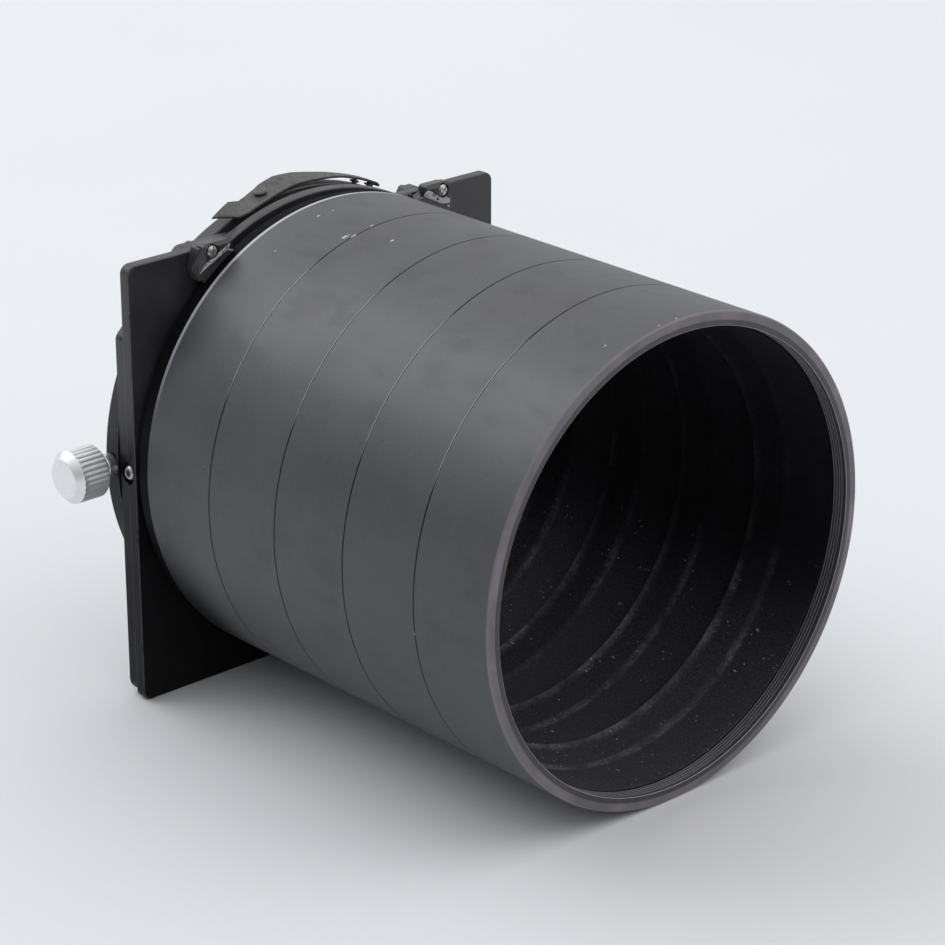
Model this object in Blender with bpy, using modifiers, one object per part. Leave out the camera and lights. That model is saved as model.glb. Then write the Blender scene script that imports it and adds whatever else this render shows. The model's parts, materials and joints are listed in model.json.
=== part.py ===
"""A stacked-ring lens hood with a square mounting plate and a lens clamp ring.

The barrel is five equal turned rings, each with a threaded spigot that screws into
the ring behind it and a flocked lining that ends in a narrowing lip.  A flanged neck
carries the barrel on a front plate.  Behind it come a rear plate and a clamp ring with
a thumb screw, a sprung catch strip and its locking pin.

Sizes are in millimetres.  The working frame has the barrel axis on Y, the front rim
at y = 0, the opening facing -Y and +Z up.  One empty moves it to the part's origin,
the middle of the base of the whole object's box.
"""
import math

import bmesh
import bpy
from mathutils import Vector

MM = 0.001

# Barrel
BARREL_RADIUS = 49.0
SECTION_COUNT = 5
SECTION_LENGTH = 20.0
JOINT_GAP = 0.3
EDGE_CHAMFER = 0.3
RIM_CHAMFER = 0.4
FRONT_BORE_RADIUS = 46.1
FRONT_BORE_DEPTH = 3.2
WALL_BORE_RADIUS = 46.5
SPIGOT_RADIUS = 46.2
SPIGOT_LENGTH = 2.0
SPIGOT_BORE_RADIUS = 43.7
CONE_START = 15.5
BARREL_LENGTH = SECTION_COUNT * SECTION_LENGTH

# Flocked lining, one sleeve in each ring
LINING_RADIUS = 46.2
LINING_BORE_RADIUS = 45.7
LINING_START = 3.5
LINING_LIP_RADIUS = 43.4
LINING_LIP_BORE_RADIUS = 42.95
LINING_LIP_SETBACK = 0.1

# Flanged neck
FLANGE_RADIUS = 48.4
FLANGE_BACK = BARREL_LENGTH + 3.2
NECK_RADIUS = 44.6
NECK_BACK = BARREL_LENGTH + 6.9
NECK_BORE_RADIUS = 42.6
NECK_SOCKET_BACK = BARREL_LENGTH + 2.3

# Plates
PLATE_HALF_WIDTH = 48.25
PLATE_TOP = 43.4
PLATE_BASE = -50.2
PLATE_CORNER = 2.0
FRONT_PLATE_Y = (BARREL_LENGTH + 4.7, BARREL_LENGTH + 7.3)
FRONT_PLATE_BORE = 44.9
CROWN_RADIUS = 48.9
REAR_PLATE_Y = (BARREL_LENGTH + 7.6, BARREL_LENGTH + 10.4)
REAR_PLATE_HALF_WIDTH = 47.7
REAR_PLATE_TOP = 43.2
REAR_PLATE_LOW_TOP = 41.3
REAR_PLATE_BASE = -49.9
REAR_PLATE_CUT_CORNER = 15.5
REAR_PLATE_EAR = (26.7, 29.9)
REAR_PLATE_BASE_CORNER = 3.0
REAR_PLATE_BORE = 41.5

# Clamp ring and its felt
CLAMP_RADIUS = 48.35
CLAMP_Y = (BARREL_LENGTH + 10.7, BARREL_LENGTH + 14.4)
HUB_RADIUS = 45.2
HUB_BACK = BARREL_LENGTH + 17.2
CLAMP_BORE_RADIUS = 41.2
FELT_RADIUS = 40.9
FELT_BORE_RADIUS = 40.1
FELT_Y = (BARREL_LENGTH + 11.2, BARREL_LENGTH + 16.8)

# Thumb screw, radial on the -X side
THUMB_Y = BARREL_LENGTH + 12.35
THUMB_HOLE_RADIUS = 1.45
SHANK_RADIUS = 1.15
SHANK_SPAN = (42.9, 52.1)
TIP_RADIUS = 1.1
TIP_SPAN = (40.0, 42.6)
COLLAR_RADIUS = 2.5
COLLAR_SPAN = (48.65, 51.4)
COLLAR_RIM_THICKNESS = 0.9
COLLAR_DOME_TAPER = 0.2
COLLAR_DOME_DROP = 0.7
COLLAR_FACE_RADIUS = 1.9
KNOB_RADIUS = 5.5
KNOB_SPAN = (52.4, 60.3)
KNOB_CHAMFER = 1.5
KNOB_BACK_CHAMFER = 0.5

# Catch strip, locking pin and rivets; angles run from +Z towards -X, in degrees
STRIP_THICKNESS = 0.5
# Front edge and rear edge of the strip's outer face, from the finger tab to the riveted end:
# angle, distance from the axis, and distance behind the barrel
STRIP_STATIONS = (
    ((26.6, 53.0, 9.0), (18.9, 51.0, 13.0)),
    ((20.5, 49.4, 8.6), (15.5, 49.4, 13.8)),
    ((18.0, 49.2, 8.2), (13.2, 49.3, 14.3)),
    ((12.0, 49.2, 8.7), (9.3, 49.3, 15.4)),
    ((8.0, 49.2, 9.4), (7.3, 49.4, 16.2)),
    ((3.0, 49.2, 10.4), (2.5, 50.0, 16.5)),
    ((-1.0, 49.3, 10.9), (-3.0, 49.9, 16.4)),
    ((-6.0, 49.45, 10.9), (-7.5, 49.9, 15.0)),
    ((-14.0, 49.9, 10.9), (-14.0, 49.95, 13.7)),
    ((-25.6, 49.9, 10.9), (-25.6, 49.9, 13.6)),
    ((-26.6, 49.5, 10.9), (-26.6, 49.5, 13.6)),
)
STRIP_STEPS = 3
STRIP_LANES = 3
STRIP_TOP_RADIUS = 49.9
PIN_ANGLE = 10.2
PIN_Y = BARREL_LENGTH + 12.3
PIN_RADIUS = 0.7
PIN_TIP = 39.4
PIN_HEAD_RADIUS = 1.5
PIN_HEAD_SPAN = (49.6, 50.2)
PIN_HEAD_EDGE = (0.5, 0.4)
PIN_HOLE_RADIUS = 1.3
RIVET_ANGLES = (-19.5, -24.4)
PIVOT_ANGLE = -22.0
RIVET_RADIUS = 0.5
RIVET_HOLE_RADIUS = 0.8
RIVET_SHOULDER_RADIUS = 0.95
RIVET_END = 43.0

# Retaining lugs: a front block, a body beside the flange and a foot behind it
LUG_Y = (BARREL_LENGTH + 0.3, BARREL_LENGTH + 4.4)
LUG_BODY_Y = BARREL_LENGTH + 1.5
LUG_FOOT_Y = BARREL_LENGTH + 3.5
LUG_BODY_RADIUS = 48.9
LUG_FOOT_OVERLAP = 1.8
LUG_LEVEL_DEPTH = 0.7
LUG_TOP = 45.6
# Outlines of the +X lug: x, z and corner radius, then its arcs about the barrel axis
LUG_BLOCK_CORNERS = ((32.4, 46.0, 0.9), (25.6, 46.0, 0.7), (25.7, 43.3, 1.2), (32.3, 39.9, 0.5),
                     (33.7, 38.9, 0.6), (34.2, 40.6, 0.8))
LUG_BODY_CORNERS = ((33.0, 37.5, 0.5), (34.0, 40.0, 0.8), (32.6, 46.0, 0.9), (24.2, 46.0, 0.8))
LUG_BODY_ARC = (math.radians(62.5), math.radians(49.5))
LUG_FOOT_CORNERS = [(31.4, 38.6), (22.2, 44.6)]
LUG_FOOT_ARC = (math.radians(64.0), math.radians(50.0))
LUG_REAR_TOP = 44.0
LUG_SCREW_PLACE = (30.45, 43.8)
LUG_SCREW_HEAD = (BARREL_LENGTH + 0.1, BARREL_LENGTH + 0.9)
LUG_COUNTERBORE_RADIUS = 1.5
LUG_SCREW_HEAD_RADIUS = 1.2
LUG_SCREW_HEAD_EDGE = 0.25
LUG_SCREW_DEPTH = 2.0
LUG_BACK_SCREW_PLACE = (28.3, 41.7)
LUG_BACK_SCREW_FRONT = LUG_BODY_Y + 1.0
BACK_SCREW_HOLE_RADIUS = 0.8
BACK_SCREW_HEAD_RADIUS = 1.3
BACK_SCREW_HEAD_HEIGHT = 0.9

# Screws through the clamp ring, and the grub screws in the plates' edges
RING_SCREW_RADIUS_FROM_AXIS = 46.8
RING_SCREW_HOLE_RADIUS = 1.1
RING_SCREW_HEAD_RADIUS = 1.2
RING_SCREW_HOLE_INSET = 0.8
GRUB_Y = BARREL_LENGTH + 7.6
GRUB_Z = -0.7
GRUB_RADIUS = 1.5
GRUB_SPAN = (45.4, 47.9)
GRUB_HOLE_RADIUS = 1.8
GRUB_SOCKET_WALL = 0.7
GRUB_SOCKET_DEPTH = 1.1
EDGE_POCKET_DEPTH = 1.2
EDGE_POCKET_SIZE = (4.4, 4.8)

RING_STEPS = 48
SMALL_STEPS = 16
FIT_GAP = 0.3
KNOB_STEPS = 32
CUTTER_OVERRUN = 2.0

# The middle of the base of the object's box, in the working frame
BOX_X = (-KNOB_SPAN[1], BARREL_RADIUS)
ORIGIN = Vector((sum(BOX_X) / 2, (THUMB_Y + KNOB_RADIUS) / 2, PLATE_BASE))

TO_THE_BACK = Vector((0, 1, 0))


def clear_scene():
    for item in list(bpy.data.objects):
        bpy.data.objects.remove(item)


def new_collection(name):
    collection = bpy.data.collections.new(name)
    bpy.context.scene.collection.children.link(collection)
    return collection


def new_material(name, color, roughness, metallic):
    material = bpy.data.materials.new(name)
    material.use_nodes = True
    shader = material.node_tree.nodes["Principled BSDF"]
    shader.inputs["Base Color"].default_value = (*color, 1.0)
    shader.inputs["Roughness"].default_value = roughness
    shader.inputs["Metallic"].default_value = metallic
    material.diffuse_color = (*color, 1.0)
    return material


clear_scene()
PARTS = new_collection("lens_hood")
CUTTERS = new_collection("cutters")
WORKING_FRAME = bpy.data.objects.new("working_frame", None)
WORKING_FRAME.location = -ORIGIN * MM
PARTS.objects.link(WORKING_FRAME)

FINISHES = {
    "anodised": ((0.055, 0.056, 0.060), 0.42, 0.6),
    "paint": ((0.012, 0.012, 0.014), 0.25, 0.0),
    "flock": ((0.010, 0.010, 0.011), 0.95, 0.0),
    "bright": ((0.78, 0.79, 0.80), 0.3, 1.0),
    "blackened": ((0.03, 0.03, 0.032), 0.35, 0.8),
    "spring": ((0.10, 0.095, 0.09), 0.5, 0.7),
    "nylon": ((0.75, 0.74, 0.70), 0.5, 0.0),
}


def place(name, data, finish, at=(0, 0, 0), turn=None):
    """Puts a mesh or curve in the working frame as a named part with its own material."""
    item = bpy.data.objects.new(name, data)
    item.location = Vector(at) * MM
    if turn is not None:
        item.rotation_euler = turn.to_euler()
    item.parent = WORKING_FRAME
    data.materials.clear()
    data.materials.append(new_material(name, *FINISHES[finish]))
    PARTS.objects.link(item)
    return item


def along(direction):
    """The turn that lays a local -Z axis along a direction."""
    return Vector((0, 0, -1)).rotation_difference(Vector(direction))


def turned(name, profile, finish, at=(0, 0, 0), direction=TO_THE_BACK, steps=RING_STEPS):
    """Turns (radius, distance) points about a line through `at` along `direction`.

    A profile that starts and ends on the axis is open there, any other one is a closed ring.
    """
    mesh = bpy.data.meshes.new(name)
    points = [(radius * MM, 0, -distance * MM) for radius, distance in profile]
    edges = [(i, i + 1) for i in range(len(points) - 1)]
    if profile[0][0] > 0:
        edges.append((len(points) - 1, 0))
    mesh.from_pydata(points, edges, [])
    item = place(name, mesh, finish, at, along(direction))
    screw = item.modifiers.new("turn", "SCREW")
    screw.axis = "Z"
    screw.steps = steps
    screw.render_steps = steps
    screw.use_merge_vertices = True
    screw.merge_threshold = 0.00001
    screw.use_smooth_shade = True
    return item


def circle_points(radius, center=(0, 0), steps=RING_STEPS):
    turns = [2 * math.pi * i / steps for i in range(steps)]
    return [(center[0] + radius * math.cos(t), center[1] + radius * math.sin(t)) for t in turns]


def arc_points(center, radius, start, end, steps):
    """Points on an arc between two angles in radians, both ends included."""
    turns = [start + (end - start) * i / steps for i in range(steps + 1)]
    return [(center[0] + radius * math.cos(t), center[1] + radius * math.sin(t)) for t in turns]


def rounded(corners, steps=6):
    """A closed outline from (x, z, corner radius) points."""
    outline = []
    for i, (x, z, radius) in enumerate(corners):
        here = Vector((x, z))
        if radius == 0:
            outline.append((x, z))
            continue
        to_last = (Vector(corners[i - 1][:2]) - here).normalized()
        to_next = (Vector(corners[(i + 1) % len(corners)][:2]) - here).normalized()
        half_angle = to_last.angle(to_next) / 2
        center = here + (to_last + to_next).normalized() * radius / math.sin(half_angle)
        first = here + to_last * radius / math.tan(half_angle) - center
        last = here + to_next * radius / math.tan(half_angle) - center
        start = math.atan2(first.y, first.x)
        sweep = (math.atan2(last.y, last.x) - start + math.pi) % (2 * math.pi) - math.pi
        outline += arc_points(center, radius, start, start + sweep, steps)
    return outline


def flat_curve(name, loops, thickness):
    """A filled flat outline, local XY, `thickness` deep along local Z."""
    curve = bpy.data.curves.new(name, "CURVE")
    curve.dimensions = "2D"
    curve.fill_mode = "BOTH"
    curve.extrude = thickness * MM / 2
    for loop in loops:
        spline = curve.splines.new("POLY")
        spline.points.add(len(loop) - 1)
        for point, (x, y) in zip(spline.points, loop):
            point.co = (x * MM, y * MM, 0, 1)
        spline.use_cyclic_u = True
    return curve


def flat_mesh(name, loops, thickness):
    """The same outline as a closed mesh, which modifiers can cut."""
    helper = bpy.data.objects.new(name + "_outline", flat_curve(name, loops, thickness))
    CUTTERS.objects.link(helper)
    bpy.context.view_layer.update()
    depsgraph = bpy.context.evaluated_depsgraph_get()
    mesh = bpy.data.meshes.new_from_object(helper.evaluated_get(depsgraph))
    bpy.data.objects.remove(helper)
    work = bmesh.new()
    work.from_mesh(mesh)
    bmesh.ops.remove_doubles(work, verts=work.verts, dist=0.000001)
    bmesh.ops.recalc_face_normals(work, faces=work.faces)
    work.to_mesh(mesh)
    work.free()
    return mesh


def upright_plate(name, loops, span, finish):
    """A plate whose outline lies in XZ and which fills a span of y."""
    mesh = flat_mesh(name, loops, span[1] - span[0])
    return place(name, mesh, finish, (0, sum(span) / 2, 0), along(TO_THE_BACK))


def as_cutter(item):
    item.parent = WORKING_FRAME
    item.hide_render = True
    item.display_type = "WIRE"
    CUTTERS.objects.link(item)
    return item


def rod_cutter(name, start, direction, radius, length, steps=SMALL_STEPS):
    """A cylinder that begins at `start` and runs `length` along a direction."""
    mesh = bpy.data.meshes.new(name)
    work = bmesh.new()
    bmesh.ops.create_cone(work, cap_ends=True, segments=steps, radius1=radius * MM,
                          radius2=radius * MM, depth=length * MM)
    work.to_mesh(mesh)
    work.free()
    item = bpy.data.objects.new(name, mesh)
    item.location = (Vector(start) + Vector(direction).normalized() * length / 2) * MM
    item.rotation_euler = along(direction).to_euler()
    return as_cutter(item)


def box_cutter(name, low, high):
    mesh = bpy.data.meshes.new(name)
    work = bmesh.new()
    bmesh.ops.create_cube(work, size=1.0)
    size = (Vector(high) - Vector(low)) * MM
    bmesh.ops.scale(work, vec=size, verts=work.verts)
    work.to_mesh(mesh)
    work.free()
    item = bpy.data.objects.new(name, mesh)
    item.location = (Vector(low) + Vector(high)) * MM / 2
    return as_cutter(item)


def combine(item, other, operation="DIFFERENCE"):
    boolean = item.modifiers.new(other.name, "BOOLEAN")
    boolean.operation = operation
    boolean.solver = "EXACT"
    boolean.object = other


def spoke(angle, distance, y):
    """A point at a distance from the barrel axis, `angle` degrees from +Z towards -X."""
    turn = math.radians(angle)
    return Vector((-math.sin(turn) * distance, y, math.cos(turn) * distance))


def outward(angle):
    return spoke(angle, 1.0, 0.0)


def hood_section(number):
    """One barrel ring: front bore, wall, cone and the spigot that enters the next ring."""
    front = (number - 1) * SECTION_LENGTH
    back = front + SECTION_LENGTH
    first = number == 1
    face = front if first else front + JOINT_GAP / 2
    chamfer = RIM_CHAMFER if first else EDGE_CHAMFER
    profile = [
        (BARREL_RADIUS - chamfer, face),
        (BARREL_RADIUS, face + chamfer),
        (BARREL_RADIUS, back - JOINT_GAP / 2 - EDGE_CHAMFER),
        (BARREL_RADIUS - EDGE_CHAMFER, back - JOINT_GAP / 2),
        (SPIGOT_RADIUS, back - JOINT_GAP / 2),
        (SPIGOT_RADIUS, back + SPIGOT_LENGTH),
        (SPIGOT_BORE_RADIUS, back + SPIGOT_LENGTH),
        (WALL_BORE_RADIUS, front + CONE_START),
    ]
    if first:
        profile += [(WALL_BORE_RADIUS, front + FRONT_BORE_DEPTH),
                    (FRONT_BORE_RADIUS, front + FRONT_BORE_DEPTH)]
    bore = FRONT_BORE_RADIUS if first else WALL_BORE_RADIUS
    profile.append((bore, face))
    turned(f"hood_section_{number}", profile, "anodised")


def flock_lining(number):
    """The sleeve glued inside a ring: a straight wall, then a cone that ends in a lip."""
    front = (number - 1) * SECTION_LENGTH
    lip = front + SECTION_LENGTH + SPIGOT_LENGTH - LINING_LIP_SETBACK
    profile = [
        (LINING_RADIUS, front + LINING_START),
        (LINING_RADIUS, front + CONE_START - LINING_LIP_SETBACK),
        (LINING_LIP_RADIUS, lip),
        (LINING_LIP_BORE_RADIUS, lip),
        (LINING_BORE_RADIUS, front + CONE_START - FIT_GAP),
        (LINING_BORE_RADIUS, front + LINING_START),
    ]
    turned(f"flock_lining_{number}", profile, "flock")


def flanged_neck():
    face = BARREL_LENGTH + JOINT_GAP / 2
    turned("flanged_neck", [
        (FLANGE_RADIUS, face),
        (FLANGE_RADIUS, FLANGE_BACK),
        (NECK_RADIUS, FLANGE_BACK),
        (NECK_RADIUS, NECK_BACK),
        (NECK_BORE_RADIUS, NECK_BACK),
        (NECK_BORE_RADIUS, NECK_SOCKET_BACK),
        (WALL_BORE_RADIUS, NECK_SOCKET_BACK),
        (WALL_BORE_RADIUS, face),
    ], "anodised")


def front_plate_outline():
    """A rectangle whose top carries a round crown concentric with the barrel."""
    base = rounded([(-PLATE_HALF_WIDTH, PLATE_TOP, PLATE_CORNER),
                    (-PLATE_HALF_WIDTH, PLATE_BASE, PLATE_CORNER),
                    (PLATE_HALF_WIDTH, PLATE_BASE, PLATE_CORNER),
                    (PLATE_HALF_WIDTH, PLATE_TOP, PLATE_CORNER)])
    spread = math.acos(PLATE_TOP / CROWN_RADIUS)
    crown = arc_points((0, 0), CROWN_RADIUS, math.pi / 2 - spread, math.pi / 2 + spread, 10)
    return base + crown


def front_plate():
    plate = upright_plate("front_plate", [front_plate_outline(), circle_points(FRONT_PLATE_BORE)],
                          FRONT_PLATE_Y, "paint")
    cut_plate_holes(plate)
    return plate


def rear_plate():
    """A plate with its upper corners cut off; its top is lower on the +X side, but for one ear."""
    half = REAR_PLATE_HALF_WIDTH
    cut = REAR_PLATE_CUT_CORNER
    ear = REAR_PLATE_EAR
    outline = rounded([
        (-half + cut, REAR_PLATE_TOP, 2.0),
        (-half, REAR_PLATE_TOP - cut, 2.0),
        (-half, REAR_PLATE_BASE, REAR_PLATE_BASE_CORNER),
        (half, REAR_PLATE_BASE, REAR_PLATE_BASE_CORNER),
        (half, REAR_PLATE_TOP - cut, 2.0),
        (half - cut + REAR_PLATE_TOP - REAR_PLATE_LOW_TOP, REAR_PLATE_LOW_TOP, 2.0),
        (ear[1] + FIT_GAP, REAR_PLATE_LOW_TOP, 0),
        (ear[1], REAR_PLATE_TOP, 0.2),
        (ear[0], REAR_PLATE_TOP, 0.2),
        (ear[0] - 1.2, REAR_PLATE_LOW_TOP, 0),
        (-6.5, REAR_PLATE_LOW_TOP, 0),
        (-8.0, REAR_PLATE_TOP, 0.6),
    ])
    plate = upright_plate("rear_plate", [outline, circle_points(REAR_PLATE_BORE)],
                          REAR_PLATE_Y, "paint")
    cut_plate_holes(plate)
    return plate


def ring_screw_spots():
    reach = RING_SCREW_RADIUS_FROM_AXIS * math.sqrt(0.5)
    return [(x * reach, z * reach) for x in (-1, 1) for z in (-1, 1)]


def make_shared_cutters():
    """The holes and pockets that run through more than one piece."""
    front, back = FRONT_PLATE_Y[0], CLAMP_Y[1]
    shared = {"plates": [], "clamp": []}
    for i, (x, z) in enumerate(ring_screw_spots()):
        start = (x, front + RING_SCREW_HOLE_INSET, z)
        cutter = rod_cutter(f"ring_screw_hole_{i + 1}", start, TO_THE_BACK,
                            RING_SCREW_HOLE_RADIUS, back + CUTTER_OVERRUN - start[1])
        shared["plates"].append(cutter)
        shared["clamp"].append(cutter)
    for side in (-1, 1):
        word = "left" if side < 0 else "right"
        x, z = LUG_BACK_SCREW_PLACE
        shared["plates"].append(rod_cutter(
            f"lug_back_hole_{word}", (side * x, LUG_BACK_SCREW_FRONT - FIT_GAP, z), TO_THE_BACK,
            BACK_SCREW_HOLE_RADIUS, REAR_PLATE_Y[1] + CUTTER_OVERRUN - LUG_BODY_Y))
        shared["plates"].append(rod_cutter(
            f"grub_hole_{word}", (side * (GRUB_SPAN[0] - FIT_GAP), GRUB_Y, GRUB_Z), (side, 0, 0),
            GRUB_HOLE_RADIUS, 3 * CUTTER_OVERRUN))
        edge = side * (PLATE_HALF_WIDTH - EDGE_POCKET_DEPTH)
        beyond = side * (PLATE_HALF_WIDTH + CUTTER_OVERRUN)
        depth, height = EDGE_POCKET_SIZE
        shared["plates"].append(box_cutter(
            f"edge_pocket_{word}",
            (min(edge, beyond), GRUB_Y - depth / 2, GRUB_Z - height / 2),
            (max(edge, beyond), GRUB_Y + depth / 2, GRUB_Z + height / 2)))
    return shared


SHARED_CUTTERS = make_shared_cutters()


def cut_plate_holes(plate):
    for cutter in SHARED_CUTTERS["plates"]:
        combine(plate, cutter)


def lens_clamp_ring():
    ring = turned("lens_clamp_ring", [
        (CLAMP_RADIUS, CLAMP_Y[0]),
        (CLAMP_RADIUS, CLAMP_Y[1]),
        (HUB_RADIUS, CLAMP_Y[1]),
        (HUB_RADIUS, HUB_BACK),
        (CLAMP_BORE_RADIUS, HUB_BACK),
        (CLAMP_BORE_RADIUS, CLAMP_Y[0]),
    ], "paint")
    for cutter in SHARED_CUTTERS["clamp"]:
        combine(ring, cutter)
    return ring


def clamp_felt():
    return turned("clamp_felt", [
        (FELT_RADIUS, FELT_Y[0]),
        (FELT_RADIUS, FELT_Y[1]),
        (FELT_BORE_RADIUS, FELT_Y[1]),
        (FELT_BORE_RADIUS, FELT_Y[0]),
    ], "flock")


def thumb_screw():
    """Knob and shank turn, the soft tip only slides; the collar stays on the ring."""
    outward_x = Vector((-1, 0, 0))
    center = (0, THUMB_Y, 0)
    turned("thumb_knob", [
        (0, KNOB_SPAN[0]),
        (KNOB_RADIUS - KNOB_BACK_CHAMFER, KNOB_SPAN[0]),
        (KNOB_RADIUS, KNOB_SPAN[0] + KNOB_BACK_CHAMFER),
        (KNOB_RADIUS, KNOB_SPAN[1] - KNOB_CHAMFER),
        (KNOB_RADIUS - KNOB_CHAMFER, KNOB_SPAN[1]),
        (0, KNOB_SPAN[1]),
    ], "bright", center, outward_x, KNOB_STEPS)
    for name, radius, span, finish in (("thumb_shank", SHANK_RADIUS, SHANK_SPAN, "bright"),
                                       ("thumb_tip", TIP_RADIUS, TIP_SPAN, "nylon")):
        turned(name, [(0, span[0]), (radius, span[0]), (radius, span[1]), (0, span[1])],
               finish, center, outward_x, SMALL_STEPS)
    turned("thumb_collar", [
        (COLLAR_RADIUS, COLLAR_SPAN[0]),
        (COLLAR_RADIUS, COLLAR_SPAN[0] + COLLAR_RIM_THICKNESS),
        (COLLAR_RADIUS - COLLAR_DOME_TAPER, COLLAR_SPAN[1] - COLLAR_DOME_DROP),
        (COLLAR_FACE_RADIUS, COLLAR_SPAN[1]),
        (THUMB_HOLE_RADIUS, COLLAR_SPAN[1]),
        (THUMB_HOLE_RADIUS, COLLAR_SPAN[0]),
    ], "bright", center, outward_x, KNOB_STEPS)
    return rod_cutter("thumb_hole", (-FELT_BORE_RADIUS + CUTTER_OVERRUN, THUMB_Y, 0), outward_x,
                      THUMB_HOLE_RADIUS, CLAMP_RADIUS - FELT_BORE_RADIUS + 2 * CUTTER_OVERRUN)


def between(first, second, share):
    return tuple(a + (b - a) * share for a, b in zip(first, second))


def strip_point(along_share, across_share):
    """A point of the strip's outer face, by its share of the length and of the width."""
    spot = along_share * (len(STRIP_STATIONS) - 1)
    index = min(int(spot), len(STRIP_STATIONS) - 2)
    front, rear = (between(STRIP_STATIONS[index][edge], STRIP_STATIONS[index + 1][edge],
                           spot - index) for edge in (0, 1))
    angle, distance, behind = between(front, rear, across_share)
    return spoke(angle, distance, BARREL_LENGTH + behind)


def catch_strip():
    """A leaf spring over the clamp ring, riveted at its +X end, with a finger tab at the other."""
    pivot = spoke(PIVOT_ANGLE, STRIP_TOP_RADIUS, PIN_Y)
    mesh = bpy.data.meshes.new("catch_strip")
    work = bmesh.new()
    bmesh.ops.create_grid(work, x_segments=STRIP_STEPS * (len(STRIP_STATIONS) - 1),
                          y_segments=STRIP_LANES, size=0.5)
    for vertex in work.verts:
        vertex.co = (strip_point(vertex.co.x + 0.5, vertex.co.y + 0.5) - pivot) * MM
    work.to_mesh(mesh)
    work.free()
    strip = place("catch_strip", mesh, "spring", pivot)
    shell = strip.modifiers.new("thickness", "SOLIDIFY")
    shell.thickness = STRIP_THICKNESS * MM
    shell.offset = -1.0
    return strip


def catch_pin():
    head_low, head_high = PIN_HEAD_SPAN
    edge_width, edge_height = PIN_HEAD_EDGE
    turned("catch_pin", [
        (0, PIN_TIP),
        (PIN_RADIUS, PIN_TIP),
        (PIN_RADIUS, head_low),
        (PIN_HEAD_RADIUS, head_low),
        (PIN_HEAD_RADIUS, head_high - edge_height),
        (PIN_HEAD_RADIUS - edge_width, head_high),
        (0, head_high),
    ], "spring", (0, PIN_Y, 0), outward(PIN_ANGLE), SMALL_STEPS)
    pin_start = spoke(PIN_ANGLE, FELT_BORE_RADIUS - CUTTER_OVERRUN, PIN_Y)
    ring_hole = rod_cutter("pin_hole", pin_start, outward(PIN_ANGLE), PIN_HOLE_RADIUS,
                           CLAMP_RADIUS - FELT_BORE_RADIUS + 2 * CUTTER_OVERRUN)
    strip_hole = rod_cutter("strip_pin_hole", spoke(PIN_ANGLE, CLAMP_RADIUS, PIN_Y),
                            outward(PIN_ANGLE), PIN_RADIUS + FIT_GAP,
                            2 * CUTTER_OVERRUN)
    return ring_hole, strip_hole


def strip_rivets(ring, strip):
    """Shouldered rivets, peened flush, that hold the strip clear of the ring."""
    under = STRIP_TOP_RADIUS - STRIP_THICKNESS
    for number, angle in enumerate(RIVET_ANGLES, start=1):
        turned(f"strip_rivet_{number}", [
            (0, RIVET_END),
            (RIVET_RADIUS, RIVET_END),
            (RIVET_RADIUS, CLAMP_RADIUS + FIT_GAP),
            (RIVET_SHOULDER_RADIUS, CLAMP_RADIUS + FIT_GAP),
            (RIVET_SHOULDER_RADIUS, under - FIT_GAP),
            (RIVET_RADIUS, under - FIT_GAP),
            (RIVET_RADIUS, STRIP_TOP_RADIUS),
            (0, STRIP_TOP_RADIUS),
        ], "spring", (0, PIN_Y, 0), outward(angle), SMALL_STEPS)
        hole = rod_cutter(f"rivet_hole_{number}", spoke(angle, RIVET_END - FIT_GAP, PIN_Y),
                          outward(angle), RIVET_HOLE_RADIUS,
                          STRIP_TOP_RADIUS + CUTTER_OVERRUN - RIVET_END)
        combine(ring, hole)
        combine(strip, hole)


def prism(name, outline, span):
    """A flat outline in XZ that fills a span of y, as a cutter or a piece to join."""
    item = bpy.data.objects.new(name, flat_mesh(name, [outline], span[1] - span[0]))
    item.location = (0, sum(span) / 2 * MM, 0)
    item.rotation_euler = along(TO_THE_BACK).to_euler()
    return as_cutter(item)


def lug_side_profile(name):
    """The lug's height seen from the side: level at the front, falling to the plate."""
    front, rear = LUG_Y[0] - CUTTER_OVERRUN, LUG_Y[1] + CUTTER_OVERRUN
    level_end = LUG_Y[0] + LUG_LEVEL_DEPTH
    slope = (LUG_TOP - LUG_REAR_TOP) / (LUG_Y[1] - level_end)
    below = LUG_REAR_TOP / 2
    outline = [(front, below), (front, LUG_TOP), (level_end, LUG_TOP),
               (rear, LUG_REAR_TOP - slope * CUTTER_OVERRUN), (rear, below)]
    item = bpy.data.objects.new(name, flat_mesh(name, [outline], 4 * PLATE_HALF_WIDTH))
    item.rotation_euler = (math.pi / 2, 0, math.pi / 2)
    return as_cutter(item)


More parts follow.
